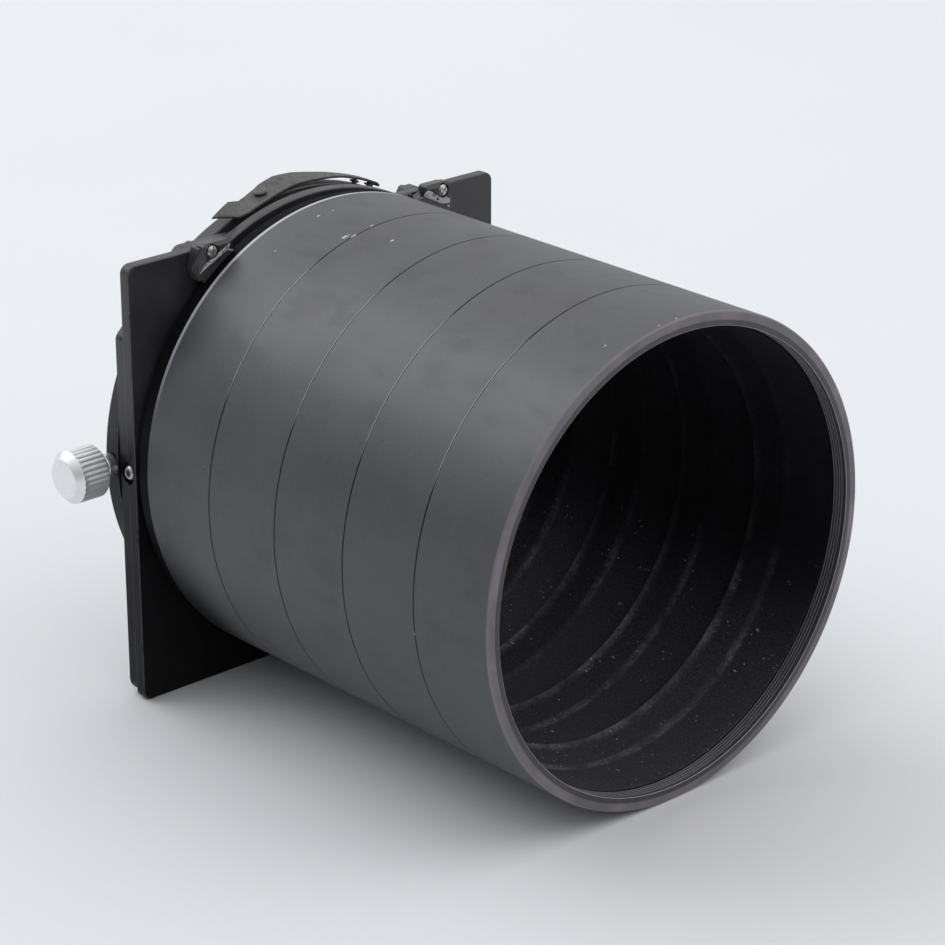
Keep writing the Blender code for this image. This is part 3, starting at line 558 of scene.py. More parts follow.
def anodised_look():
    """Black-anodised aluminium: turning lines, haze, smudges, nicks and worn edges.

    The barrel has painted shade below its top and inside the mouth, a painted highlight high on its -X
    side, on the worn edges there and along its rear edge, a mauve rim face with paler worn edges in the
    mouth, and painted shade that makes it nearly black beside the plates.
    """
    look = Look("anodised_aluminium", Metallic=0.0, IOR=1.6)
    haze = look.noise(24, 4.0)
    smudge = look.step(look.noise(6, 5.0, (1, 0.6, 1)), 0.52, 0.70)
    streak = look.step(look.noise(5, 4.0, (0.15, 1, 0.15)), 0.50, 0.75)
    grain = look.noise(0.40, 3.0)
    lines = look.noise(0.35, 2.0, (0.012, 1, 0.012))
    base = look.mix(look.step(haze, 0.35, 0.65), (0.043, 0.050, 0.056), (0.062, 0.060, 0.068))
    base = look.over(base, (0.030, 0.032, 0.036), smudge, 0.26)
    base = look.over(base, (0.084, 0.085, 0.093), streak, 0.16)
    base = look.mix(look.step(grain, 0.3, 0.7, 0.0, 0.45), base, (0.088, 0.088, 0.096))
    # painted shade: below its top the barrel's colour turns darker and slightly teal
    lower = look.band("z", 32, 14, 0.0, 0.30)
    base = look.mix(lower, base, (0.020, 0.028, 0.030))
    # painted highlight: a paler band high on the -X side
    painted_shoulder_highlight = look.times(look.band("x", -22, -29), look.band("z", 27, 34))
    base = look.over(base, (0.120, 0.128, 0.140), painted_shoulder_highlight, 0.40)
    rim = look.band("y", 0.7, 0.25)
    pink = look.mix(look.step(look.noise(9, 3.0), 0.35, 0.7), (0.118, 0.104, 0.122), (0.200, 0.158, 0.190))
    base = look.over(base, pink, rim, 0.9)
    edges = look.worn(2.2, 0.16, 0.42)
    # worn edges: a painted highlight high on the -X side, dark elsewhere, and a real worn colour in the
    # mouth
    lit = look.times(look.band("x", -19, -25), look.band("z", 20, 26))
    edge_wear_and_highlight = look.mix(lit, (0.016, 0.016, 0.018), (0.46, 0.47, 0.50))
    flat_place = look.calc_vector("MULTIPLY", look.from_rim, (1, 0, 1))
    from_axis = look.length(flat_place)
    # inside the bore: painted shade on the surface, and paler worn edges in the mouth
    inside = look.step(from_axis, 47.4 * MM, 47.1 * MM)
    base = look.over(base, (0.014, 0.015, 0.017), inside, 0.85)
    mouth = look.mix(inside, (0.17, 0.15, 0.175), (0.34, 0.32, 0.36))
    edge_wear_and_highlight = look.mix(look.band("y", 3.5, 4.5), mouth, edge_wear_and_highlight)
    base = look.over(base, edge_wear_and_highlight, edges, 0.85)
    # painted highlight: a bright line along the barrel's rear edge on its upper -X side
    painted_back_edge_highlight = look.times(look.band("y", 98.75, 98.95), look.band("z", 10, 34))
    painted_back_edge_highlight = look.times(painted_back_edge_highlight, look.step(look.noise(14, 3.0), 0.25, 0.5, 0.5, 1.0))
    base = look.over(base, (0.52, 0.53, 0.56), painted_back_edge_highlight, 0.9)
    # painted shade: near black low down beside the plates and on the flange behind the barrel, with a
    # weaker specular there
    grime_and_painted_shade = look.times(look.band("y", 82, 98), look.band("z", 12, -34))
    painted_flange_shade = look.band("y", 100.0, 100.1)
    grime_and_painted_shade = look.most(look.times(grime_and_painted_shade, 0.75), painted_flange_shade)
    base = look.mix(grime_and_painted_shade, base, (0.008, 0.008, 0.009))
    look.set(Specular_IOR_Level=look.calc("SUBTRACT", 0.5, look.times(grime_and_painted_shade, 0.48)))
    dust = look.specks(8.0, 0.22, 0.30)
    for angle, y, size in NICKS:
        mark = outward(angle) * BARREL_RADIUS + Vector((0, y, 0))
        offset = look.calc_vector("SUBTRACT", look.from_rim, tuple(mark * MM))
        offset = look.calc_vector("MULTIPLY", offset, (0.62, 1.35, 0.62))
        ragged = look.plus(look.length(offset), look.times(look.noise(0.5, 4.0), size * MM * 1.3))
        dust = look.most(dust, look.step(ragged, size * MM * 1.15, size * MM * 0.85))
    base = look.over(base, (0.55, 0.55, 0.56), dust, 0.85)
    rough = look.plus(look.step(haze, 0.3, 0.7, 0.42, 0.52), look.times(lines, 0.06))
    rough = look.plus(rough, look.times(smudge, 0.06))
    look.set(Base_Color=base, Roughness=look.calc("SUBTRACT", rough, look.times(edges, 0.12)))
    relief = look.bump(look.plus(lines, look.times(grain, 0.6)), 0.02, 0.35)
    look.bump(dust, 0.06, 0.6, relief)
    return look.material


def flock_look():
    """Black flock: deep, faintly blue, with a fuzzy nap, greyer worn ridges and caught lint; painted light
    makes the lower inside, its nap and its ridges paler.
    """
    look = Look("black_flock", Roughness=1.0, IOR=1.2)
    nap = look.noise(0.34, 4.0, roughness=0.75)
    patches = look.noise(5.0, 4.0)
    # the lower inside: painted light on the flock, and the place where real lint gathers
    low = look.band("z", -10, -44)
    base = look.mix(look.step(patches, 0.3, 0.7), (0.0022, 0.0022, 0.0024), (0.0045, 0.0042, 0.0062))
    base = look.over(base, (0.036, 0.035, 0.042), low, 0.90)
    # nap flecks, paler on the lower inside as painted light
    tufts = look.times(look.step(nap, 0.46, 0.62), look.step(low, 0.0, 1.0, 0.06, 0.65))
    base = look.mix(tufts, base, (0.078, 0.077, 0.085))
    # ridges: real wear on the lips and cone starts, made stronger low down as painted light
    ridges = look.times(look.worn(0.8, 0.05, 0.62), look.step(low, -0.15, 0.9, 0.03, 1.0))
    ridges = look.times(ridges, look.step(look.noise(7.0, 4.0), 0.40, 0.62, 0.30, 1.0))
    base = look.over(base, (0.190, 0.188, 0.205), ridges, 0.85)
    lint = look.most(look.specks(1.1, 0.36, 0.50), look.specks(2.0, 0.46, 0.45, (1, 0.4, 1)))
    clusters = look.step(look.noise(7, 4.0), 0.50, 0.62, 0.0, 1.0)
    lint = look.times(look.times(lint, clusters), look.step(low, 0.0, 0.4))
    base = look.over(base, (0.52, 0.52, 0.46), lint, 0.85)
    look.set(Base_Color=base, Sheen_Weight=0.07, Sheen_Roughness=0.6, Sheen_Tint=(0.65, 0.65, 0.75),
             Specular_IOR_Level=0.08)
    look.bump(look.plus(nap, look.times(lint, 0.8)), 0.22, 0.9)
    return look.material


def paint_look(name, base, roughness, edge, wear_share=0.8, bevel=None):
    """Stove enamel over brass: slight orange peel, fine dust, rubbed edges, and painted shade low down.

    `bevel` is a facing, mirrored in X, where faces turned towards it get a painted highlight in pale pink,
    broken into patches.
    """
    look = Look(name, IOR=1.5)
    patches = look.noise(9.0, 4.0)
    color = look.mix(look.step(patches, 0.3, 0.7), base, scaled(base, 1.6))
    # painted shade: the enamel darkens towards the bottom of the plates, with a weaker specular there
    grime_and_painted_shade = look.band("z", 24, -10, 0.0, 0.85)
    color = look.mix(grime_and_painted_shade, color, scaled(base, 0.15))
    look.set(Specular_IOR_Level=look.calc("SUBTRACT", 0.5, look.times(grime_and_painted_shade, 0.42)))
    rubbed = look.worn(1.6, 0.25, 0.6)
    color = look.over(color, edge, rubbed, wear_share)
    dust = look.most(look.specks(4.5, 0.22, 0.30), look.specks(9.0, 0.36, 0.25))
    color = look.over(color, (0.34, 0.34, 0.35), dust, 0.6)
    scratch = look.step(look.noise(0.5, 2.0, (1, 1, 0.03)), 0.70, 0.80)
    rough = look.step(patches, 0.3, 0.7, roughness * 0.85, roughness * 1.25)
    # painted highlight, pale pink, on the faces that turn towards `bevel`
    if bevel:
        normal = look.add("NewGeometry", {}).outputs["True Normal"]
        mirrored = look.calc_vector("MULTIPLY", look.calc_vector("ABSOLUTE", normal), (-1, -1, -1))
        facing = look.add("VectorMath", {0: mirrored, 1: bevel}, operation="DOT_PRODUCT")
        painted_bevel_highlight = look.step(facing.outputs["Value"], 0.955, 0.975)
        painted_bevel_highlight = look.times(painted_bevel_highlight, look.step(look.noise(1.1, 4.0), 0.38, 0.50))
        color = look.mix(painted_bevel_highlight, color, (0.86, 0.77, 0.80))
    look.set(Base_Color=color, Roughness=look.plus(rough, look.times(scratch, 0.15)))
    relief = look.bump(look.noise(0.9, 2.0), 0.03, 0.25)
    look.bump(look.plus(dust, scratch), 0.02, 0.3, relief)
    return look.material


def metal_look(name, base, roughness, metallic, edge, line_size=0.25, stretch=(1, 1, 1), dirt=0.3):
    """Plated, blackened or uncoated metal with tool lines, dirt patches and rubbed edges."""
    look = Look(name, Metallic=metallic)
    lines = look.noise(line_size, 2.0, stretch)
    grime_and_painted_shade = look.step(look.noise(1.8, 4.0), 0.5, 0.75)
    color = look.mix(look.step(lines, 0.3, 0.7), base, scaled(base, 0.86))
    color = look.over(color, scaled(base, 0.35), grime_and_painted_shade, dirt)
    color = look.mix(look.worn(0.9, 0.2, 0.6), color, edge)
    rough = look.plus(look.step(lines, 0.3, 0.7, roughness * 0.85, roughness * 1.2),
                      look.times(grime_and_painted_shade, 0.15))
    look.set(Base_Color=color, Roughness=rough)
    look.bump(lines, 0.015, 0.5)
    return look.material


def felt_look():
    look = Look("black_felt", Roughness=1.0, Specular_IOR_Level=0.1)
    fibre = look.noise(0.35, 5.0, (1, 2.5, 1), roughness=0.7)
    color = look.mix(look.step(fibre, 0.35, 0.7), (0.012, 0.012, 0.013), (0.045, 0.045, 0.047))
    look.set(Base_Color=color, Sheen_Weight=0.3, Sheen_Roughness=0.6)
    look.bump(fibre, 0.3, 0.9)
    return look.material


def nylon_look():
    look = Look("white_nylon", Roughness=0.45, Subsurface_Weight=0.2)
    look.shader.inputs["Subsurface Scale"].default_value = 0.4 * MM
    marks = look.noise(0.5, 3.0)
    look.set(Base_Color=look.mix(marks, (0.72, 0.71, 0.66), (0.82, 0.81, 0.78)))
    look.bump(marks, 0.03, 0.4)
    return look.material


ANODISED = anodised_look()
FLOCK = flock_look()
GLOSS_PAINT = paint_look("gloss_black_enamel", (0.024, 0.022, 0.026), 0.38, (0.10, 0.10, 0.105), 0.6)
LUG_PAINT = paint_look("thin_black_enamel", (0.027, 0.024, 0.026), 0.30, (0.06, 0.055, 0.06), 0.4,
                       tuple(LUG_BEVEL_FACING))
SATIN_PAINT = paint_look("satin_black_enamel", (0.032, 0.031, 0.034), 0.45, (0.11, 0.11, 0.115), 0.6)
SPRING = metal_look("oxidised_spring_steel", (0.105, 0.101, 0.098), 0.52, 0.40, (0.34, 0.33, 0.32),
                    0.3, (1, 0.25, 1))
BRIGHT = metal_look("bright_nickel", (0.93, 0.94, 0.95), 0.42, 0.85, (0.95, 0.95, 0.96), 0.12,
                    (3, 0.6, 0.6), 0.03)
DULL_PLATE = metal_look("dull_nickel", (0.74, 0.77, 0.79), 0.30, 0.95, (0.90, 0.92, 0.93), 0.2,
                        (1, 1, 1), 0.25)
BLACKENED = metal_look("blackened_steel", (0.060, 0.058, 0.060), 0.33, 0.8, (0.55, 0.54, 0.54))
WORN_STEEL = metal_look("worn_screw_steel", (0.50, 0.48, 0.48), 0.28, 0.8, (0.88, 0.84, 0.85),
                        0.3, (1, 1, 1), 0.5)
FELT = felt_look()
NYLON = nylon_look()


# Pieces


def hood_section(number):
    """One barrel ring; the front one has a filter thread in its mouth."""
    front = (number - 1) * SECTION_LENGTH
    back = front + SECTION_LENGTH
    first, last = number == 1, number == SECTION_COUNT
    face = 0.0 if first else front + JOINT_GAP / 2
    rear = back - (FIT_GAP if last else JOINT_GAP / 2)
    bore = RIM_BORE_RADIUS if first else WALL_BORE_RADIUS
    corners = [
        (bore, face, 0.15),
        (BARREL_RADIUS, face, RIM_EDGE if first else SECTION_EDGE),
        (BARREL_RADIUS, rear, BARREL_BACK_EDGE if last else SECTION_EDGE),
        (SPIGOT_RADIUS, rear),
        *thread(SPIGOT_RADIUS, rear + 0.2, back + SPIGOT_LENGTH - 0.2, SPIGOT_THREAD_PITCH,
                -SPIGOT_THREAD_DEPTH),
        (SPIGOT_RADIUS, back + SPIGOT_LENGTH, 0.1),
        (SPIGOT_BORE_RADIUS, back + SPIGOT_LENGTH, 0.1),
        (WALL_BORE_RADIUS, front + CONE_START),
    ]
    if first:
        corners += [(WALL_BORE_RADIUS, RIM_THREAD_END + 0.1), (RIM_BORE_RADIUS, RIM_THREAD_END)]
        corners += reversed(thread(RIM_BORE_RADIUS, 0.45, RIM_THREAD_END, RIM_THREAD_PITCH,
                                   RIM_THREAD_DEPTH, 0.09))
    item = turned(f"hood_section_{number}_turned", rounded(corners))
    show(item, f"hood_section_{number}", ANODISED)


def flock_height(turn, radius, distance):
    """The nap's own unevenness, and lips that aren't cut quite true."""
    place = Vector((math.cos(turn) * radius, distance, math.sin(turn) * radius))
    lumps = noise.noise(place / FLOCK_LUMP_SIZE) + 0.5 * noise.noise(place / FLOCK_LUMP_SIZE * 3)
    return radius + lumps * FLOCK_RELIEF, distance + lumps * FLOCK_RELIEF


def stations(start, end, count):
    return [start + (end - start) * i / (count - 1) for i in range(count)]


def flock_lining(number):
    """A straight wall, then a cone that ends in a worn lip."""
    front = (number - 1) * SECTION_LENGTH
    lip = front + SECTION_LENGTH + SPIGOT_LENGTH - FIT_GAP
    wall_end = front + CONE_START - 0.4
    profile = [(LINING_RADIUS - 0.1, front + LINING_START + 0.1, 0.0),
               (LINING_RADIUS - 0.1, wall_end + 0.1, 0.0),
               (LINING_LIP_RADIUS - 0.1, lip - 0.1, 0.0),
               (LINING_LIP_BORE_RADIUS + 0.2, lip, 0.5)]
    for share in stations(0, 1, 9):
        worn = max(0.85 - 2.6 * share, 0.75 - 4.0 * abs(share - 0.95), 0.0)
        profile.append((LINING_LIP_BORE_RADIUS + 0.05 + share * (LINING_BORE_RADIUS
                        - LINING_LIP_BORE_RADIUS - 0.05), lip - 0.25 + share * (wall_end - lip), worn))
    for y in stations(wall_end - 0.8, front + LINING_START + 0.3, 12):
        profile.append((LINING_BORE_RADIUS, y, 0.25 if y > wall_end - 1.0 else 0.0))
    profile.append((LINING_BORE_RADIUS + 0.1, front + LINING_START + 0.1, 0.4))
    item = turned(f"flock_lining_{number}_napped", profile, relief=flock_height)
    show(item, f"flock_lining_{number}", FLOCK, 80)


def flanged_neck():
    face, back = span("flanged_neck", "y")
    item = turned("flanged_neck_turned", rounded([
        (WALL_BORE_RADIUS, face, 0.15),
        (FLANGE_RADIUS, face, 0.25),
        (FLANGE_RADIUS, FLANGE_BACK, 0.25),
        (NECK_RADIUS, FLANGE_BACK, 0.2),
        (NECK_RADIUS, back, 0.2),
        (NECK_BORE_RADIUS, back, 0.2),
        (NECK_BORE_RADIUS, NECK_SOCKET_BACK, 0.15),
        (WALL_BORE_RADIUS, NECK_SOCKET_BACK, 0.15),
        *reversed(thread(WALL_BORE_RADIUS, face + 0.3, NECK_SOCKET_BACK - 0.3,
                         SPIGOT_THREAD_PITCH, -SPIGOT_THREAD_DEPTH)),
    ]))
    show(item, "flanged_neck", ANODISED)


def plate_cutters():
    """The holes and edge pockets that both plates have."""
    front = span("front_plate", "y")[0]
    half = span("front_plate", "x")[1]
    depth, height = EDGE_POCKET_SIZE
    cutters = []
    for side in (-1, 1):
        cutters += [rod((side * RING_SCREW_REACH, front + 0.8, z * RING_SCREW_REACH), BACKWARD,
                        RING_SCREW_HOLE_RADIUS, 30) for z in (-1, 1)]
        x, z = LUG_BACK_SCREW_PLACE
        cutters.append(rod((side * x, front - 3, z), BACKWARD, LUG_BACK_HOLE_RADIUS, 30))
        cutters.append(rod((side * GRUB_HOLE_START, GRUB_Y, GRUB_Z), (side, 0, 0),
                           GRUB_HOLE_RADIUS, 4))
        floor = side * (half - EDGE_POCKET_DEPTH)
        bulge = (height - depth) / 2
        cutters += [rod((floor, GRUB_Y, GRUB_Z + offset), (side, 0, 0), depth / 2, 3)
                    for offset in (-bulge, bulge)]
    return cutters


def front_plate():
    low_x, high_x = span("front_plate", "x")
    base, crown = span("front_plate", "z")
    spread = math.degrees(math.asin(FRONT_PLATE_SHOULDER / crown))
    outline = rounded([
        (low_x, FRONT_PLATE_SHOULDER, PLATE_CORNER),
        (low_x, base, PLATE_CORNER),
        (high_x, base, PLATE_CORNER),
        (high_x, FRONT_PLATE_SHOULDER, PLATE_CORNER),
        *arc(crown, spread, 180 - spread, 48),
    ])
    item = slab("front_plate_milled", outline, span("front_plate", "y"), PLATE_EDGE,
                [circle(FRONT_PLATE_BORE)])
    show(carve(item, plate_cutters()), "front_plate", GLOSS_PAINT)


def rear_plate():
    """The plate with its upper corners cut off, a lower top on the +X side and one small ear."""
    half = span("rear_plate", "x")[1]
    base = span("rear_plate", "z")[0]
    cut = REAR_PLATE_CUT_CORNER
    ear = REAR_PLATE_EAR
    low_top_x = half - cut + REAR_PLATE_TOP - REAR_PLATE_LOW_TOP
    outline = rounded([
        (-half + cut, REAR_PLATE_TOP, 2.0),
        (-half, REAR_PLATE_TOP - cut, 2.0),
        (-half, base, REAR_PLATE_BASE_CORNER),
        (half, base, REAR_PLATE_BASE_CORNER),
        (half, REAR_PLATE_TOP - cut, 2.0),
        (low_top_x, REAR_PLATE_LOW_TOP, 2.0),
        (ear[1] + 0.4, REAR_PLATE_LOW_TOP),
        (ear[1], REAR_PLATE_TOP, 0.4),
        (ear[0], REAR_PLATE_TOP, 0.4),
        (ear[0] - 1.2, REAR_PLATE_LOW_TOP),
        (REAR_PLATE_STEP[1], REAR_PLATE_LOW_TOP),
        (REAR_PLATE_STEP[0], REAR_PLATE_TOP, 0.6),
    ])
    item = slab("rear_plate_milled", outline, span("rear_plate", "y"), REAR_PLATE_EDGE,
                [circle(REAR_PLATE_BORE)])
    show(carve(item, plate_cutters()), "rear_plate", GLOSS_PAINT)


def radial_hole(angle, start, radius, length):
    """A cutter that runs outwards where the catch pin and the rivets stand."""
    return rod(outward(angle) * start + Vector((0, PIN_Y, 0)), outward(angle), radius, length)


def bore_holes(length):
    """Cutters for the catch pin and the thumb screw, from inside the bore."""
    return [radial_hole(PIN_ANGLE, BORE_HOLE_START, PIN_HOLE_RADIUS, length),
            rod((-BORE_HOLE_START, THUMB_Y, 0), (-1, 0, 0), THUMB_HOLE_RADIUS, length)]


def lens_clamp_ring():
    """The ring behind the plates: a hub, and holes for its screws, pin and rivets."""
    front, hub_back = span("lens_clamp_ring", "y")
    radius = radius_of("lens_clamp_ring")
    item = turned("lens_clamp_ring_turned", rounded([
        (CLAMP_BORE_RADIUS, front, 0.2),
        (radius, front, CLAMP_EDGE),
        (radius, CLAMP_RING_BACK, CLAMP_EDGE),
        (HUB_RADIUS, CLAMP_RING_BACK, 0.2),
        (HUB_RADIUS, hub_back, CLAMP_EDGE),
        (CLAMP_BORE_RADIUS, hub_back, 0.3),
    ]))
    cutters = [rod((x * RING_SCREW_REACH, front - 1, z * RING_SCREW_REACH), BACKWARD,
                   RING_SCREW_HOLE_RADIUS, 12) for x in (-1, 1) for z in (-1, 1)]
    cutters += [radial_hole(angle, RIVET_HOLE_START, RIVET_HOLE_RADIUS, 9) for angle in RIVET_ANGLES]
    show(carve(item, cutters + bore_holes(14)), "lens_clamp_ring", SATIN_PAINT)


def clamp_felt():
    front, back = span("clamp_felt", "y")
    outer = radius_of("clamp_felt")
    inner = outer - 0.8

    def nap(turn, radius, distance):
        place = Vector((math.cos(turn) * radius, distance, math.sin(turn) * radius))
        return radius + 0.06 * noise.noise(place * 1.3), distance

    profile = [(outer - 0.05, front, 0.0), (outer - 0.05, back, 0.0), (inner + 0.1, back, 0.0)]
    profile += [(inner, y, 0.0) for y in stations(back - 0.2, front + 0.2, 8)]
    profile.append((inner + 0.1, front, 0.0))
    item = turned("clamp_felt_strip", profile, relief=nap)
    show(carve(item, bore_holes(5)), "clamp_felt", FELT, 60)


def thumb_piece(node, name, corners, material, steps=SMALL_STEPS, relief=None):
    item = turned(name, rounded(corners, closed=corners[0][0] > 0), (0, THUMB_Y, 0), (-1, 0, 0),
                  steps, relief)
    show(item, node, material)


def thumb_size(node):
    """Where a piece of the thumb screw begins and ends, out from the axis, and its radius."""
    inner, outer = (-value for value in reversed(span(node, "x")))
    return inner, outer, radius_of(node)


def thumb_screw():
    """Fluted knob, threaded shank, soft tip, and the domed collar that stays on the ring."""
    near, far, knob_radius = thumb_size("thumb_knob")

    def flute(turn, radius, distance):
        groove = 1 - abs(math.sin(turn * KNOB_FLUTES / 2))
        fade = min(1.0, max(0.0, (far - KNOB_CHAMFER + 0.3 - distance) / FLUTE_FADE))
        return min(radius, knob_radius - FLUTE_DEPTH * groove * fade), distance

    chamfer = [(knob_radius - KNOB_CHAMFER * share, far - KNOB_CHAMFER * (1 - share))
               for share in stations(0.0, 0.5, 9)]
    thumb_piece("thumb_knob", "thumb_knob_fluted", [
        (0, near + 0.5),
        (2.0, near + 0.5),
        (2.4, near, 0.15),
        (knob_radius - 0.7, near, 0.1),
        *((knob_radius - 0.6 + step * 0.1, near + step * 0.1) for step in range(7)),
        *((knob_radius, y) for y in stations(near + 0.9, far - KNOB_CHAMFER - 0.1, 14)),
        *chamfer,
        (knob_radius - KNOB_CHAMFER, far, 0.3),
        (0, far),
    ], BRIGHT, KNOB_FLUTES * KNOB_STEPS_PER_FLUTE, flute)

    inner, outer, radius = thumb_size("thumb_shank")
    thumb_piece("thumb_shank", "thumb_shank_threaded", [
        (0, inner),
        (radius - 0.3, inner, 0.1),
        *thread(radius, inner + 0.3, outer - 0.4, SHANK_THREAD_PITCH, -SHANK_THREAD_DEPTH),
        (radius, outer, 0.1),
        (0, outer),
    ], BRIGHT)

    inner, outer, radius = thumb_size("thumb_tip")
    thumb_piece("thumb_tip", "thumb_tip_domed", [
        (0, inner), (radius * 0.7, inner + 0.12, 0.2), (radius, inner + 0.6, 0.2),
        (radius, outer, 0.15), (0, outer),
    ], NYLON)

    inner, outer, radius = thumb_size("thumb_collar")
    thumb_piece("thumb_collar", "thumb_collar_domed", [
        (THUMB_HOLE_RADIUS, inner), (radius, inner, 0.15), (radius, inner + 1.9, 0.4),
        (radius - 0.5, outer - 0.15, 0.3), (THUMB_HOLE_RADIUS + 0.15, outer),
        (THUMB_HOLE_RADIUS, outer - 0.2),
    ], DULL_PLATE, 96)


def between(first, second, share):
    return tuple(a + (b - a) * share for a, b in zip(first, second))


def strip_place(length_share, width_share):
    """A point of the strip's outer face by its shares of the length and the width."""
    at = length_share * (len(STRIP_STATIONS) - 1)
    index = min(int(at), len(STRIP_STATIONS) - 2)
    front, rear = (between(STRIP_STATIONS[index][edge], STRIP_STATIONS[index + 1][edge], at - index)
                   for edge in (0, 1))
    angle, distance, behind = between(front, rear, width_share)
    return outward(angle) * distance + Vector((0, BARREL_LENGTH + behind, 0))


def catch_strip():
    """A bent spring leaf with softened edges, riveted at one end and tabbed at the other."""
    work = bmesh.new()
    bmesh.ops.create_grid(work, x_segments=9 * (len(STRIP_STATIONS) - 1), y_segments=10, size=0.5)
    for vertex in work.verts:
        vertex.co = spot(*strip_place(vertex.co.x + 0.5, vertex.co.y + 0.5))
    bmesh.ops.smooth_vert(work, verts=[v for v in work.verts if not v.is_boundary], factor=0.5,
                          use_axis_x=True, use_axis_y=True, use_axis_z=True)
    item = from_bmesh("catch_strip_leaf", work)
    shell = item.modifiers.new("thickness", "SOLIDIFY")
    shell.thickness = STRIP_THICKNESS * MM
    shell.offset = -1.0
    settle(item)
    outline = item.modifiers.new("edges", "BEVEL")
    outline.width = STRIP_EDGE * MM
    outline.segments = 3
    outline.limit_method = "ANGLE"
    outline.angle_limit = math.radians(50)
    outline.use_clamp_overlap = False
    settle(item)
    cutters = [radial_hole(angle, STRIP_HOLE_START, RIVET_HOLE_RADIUS, 4) for angle in RIVET_ANGLES]
    cutters.append(radial_hole(PIN_ANGLE, STRIP_HOLE_START, STRIP_PIN_HOLE_RADIUS, 4))
    show(carve(item, cutters), "catch_strip", SPRING)


def radial_piece(node, name, angle, corners):
    item = turned(name, rounded(corners, closed=False), (0, PIN_Y, 0), outward(angle), SMALL_STEPS)
    show(item, node, SPRING)


def catch_pin_and_rivets():
    radial_piece("catch_pin", "catch_pin_turned", PIN_ANGLE, [
        (0, 39.4), (0.45, 39.4), (0.7, 39.7, 0.1), (0.7, 49.6), (1.5, 49.6, 0.08),
        (1.5, 49.95, 0.15), (1.1, 50.2, 0.2), (0, 50.2)])
    under = STRIP_TOP_RADIUS - STRIP_THICKNESS
    seat = radius_of("lens_clamp_ring") + 0.3
    for number, angle in enumerate(RIVET_ANGLES, start=1):
        radial_piece(f"strip_rivet_{number}", f"strip_rivet_{number}_peened", angle, [
            (0, 43.0), (0.5, 43.0, 0.1), (0.5, seat), (0.95, seat, 0.05), (0.95, under - 0.3, 0.05),
            (0.5, under - 0.3), (0.5, STRIP_TOP_RADIUS - 0.1, 0.08), (0.35, STRIP_TOP_RADIUS, 0.08),
            (0, STRIP_TOP_RADIUS)])


def lug_prism(name, side, corners, y_span, edge, inner_arc=None):
    """A slab from (x, z, radius) corners on the +X side, mirrored for the other side.

    `inner_arc` is a hollow that fits round the barrel: its radius, first and last angle.
    """
    outline = arc(*inner_arc, LUG_ARC_STEPS) if inner_arc else []
    outline += [(x, z) for x, z, _ in rounded(corners)]
    return slab(name, [(side * x, z) for x, z in outline], y_span, edge)


def lug_face_cutter(side, place, facing, depth=0.0):
    """A large box over all that lies past a slanting face, `depth` mm below a point in front."""
    facing = Vector((side * facing[0], facing[1], facing[2])).normalized()
    at = Vector((side * place[0], LUG_FRONT, place[1])) + facing * (LUG_CUTTER_REACH - depth)
    width = 2 * LUG_CUTTER_REACH
    return slot_cutter(at, facing, width, width, LUG_CUTTER_REACH)


def retaining_lug(side):
    """A corner block with a sunk screw, beside the flange, and a foot in the groove behind it."""
    word = "left" if side < 0 else "right"
    item = lug_prism(f"retaining_lug_{word}_cast", side, LUG_BLOCK_CORNERS,
                     (LUG_FRONT, LUG_BLOCK_BACK), 0.45)
    carve(item, [rod((side * LUG_SCREW_PLACE[0], LUG_FRONT - 1, LUG_SCREW_PLACE[1]), BACKWARD,
                     LUG_COUNTERBORE_RADIUS, 1 + LUG_COUNTERBORE_DEPTH),
                 lug_face_cutter(side, LUG_BEVEL_PLACE, LUG_BEVEL_FACING, LUG_BEVEL_DEPTH),
                 *(lug_face_cutter(side, place, facing) for place, facing in LUG_TAPERS)])
    body = lug_prism("body", side, LUG_BODY_CORNERS, (LUG_BODY_FRONT, LUG_BACK), 0.25, LUG_BODY_ARC)
    foot = lug_prism("foot", side, LUG_FOOT_CORNERS, (LUG_BACK - LUG_FOOT_THICKNESS, LUG_BACK), 0.1,
                     LUG_FOOT_ARC)
    carve(item, [body, foot], "UNION")
    x, z = LUG_SCREW_PLACE
    back_x, back_z = LUG_BACK_SCREW_PLACE
    carve(item, [rod((side * x, LUG_FRONT, z), BACKWARD, 0.8, 2.3),
                 rod((side * back_x, LUG_FRONT + 1.9, back_z), BACKWARD, 0.8, 5)])
    show(item, f"retaining_lug_{word}", LUG_PAINT, 40)


def headed_screw(node, place, corners, slots, slot_width, slot_depth, head_y, facing, turn,
                 material=None):
    """A turned screw along Y with one or two screwdriver slots in its head."""
    x, z = place
    item = turned(node + "_slotted", rounded(corners, closed=False), (x, 0, z), BACKWARD, SMALL_STEPS)
    cutters = [slot_cutter((x, head_y, z), facing, slot_width, 4.0, slot_depth,
                           turn + index * math.pi / 2) for index in range(slots)]
    show(carve(item, cutters), node, material or BLACKENED)


def back_screw(node, place, front, seat, radius, head_radius, turn):
    headed_screw(node, place, [
        (0, front), (radius - 0.15, front, 0.05),
        *thread(radius, front + 0.1, seat - 0.4, 0.5, -0.15),
        (radius, seat + 0.3), (head_radius, seat + 0.3, 0.08), (head_radius, seat + 0.9, 0.15),
        (head_radius - 0.35, seat + 1.2, 0.15), (0, seat + 1.2),
    ], 1, 0.45, 0.45, seat + 1.2, (0, 1, 0), turn)


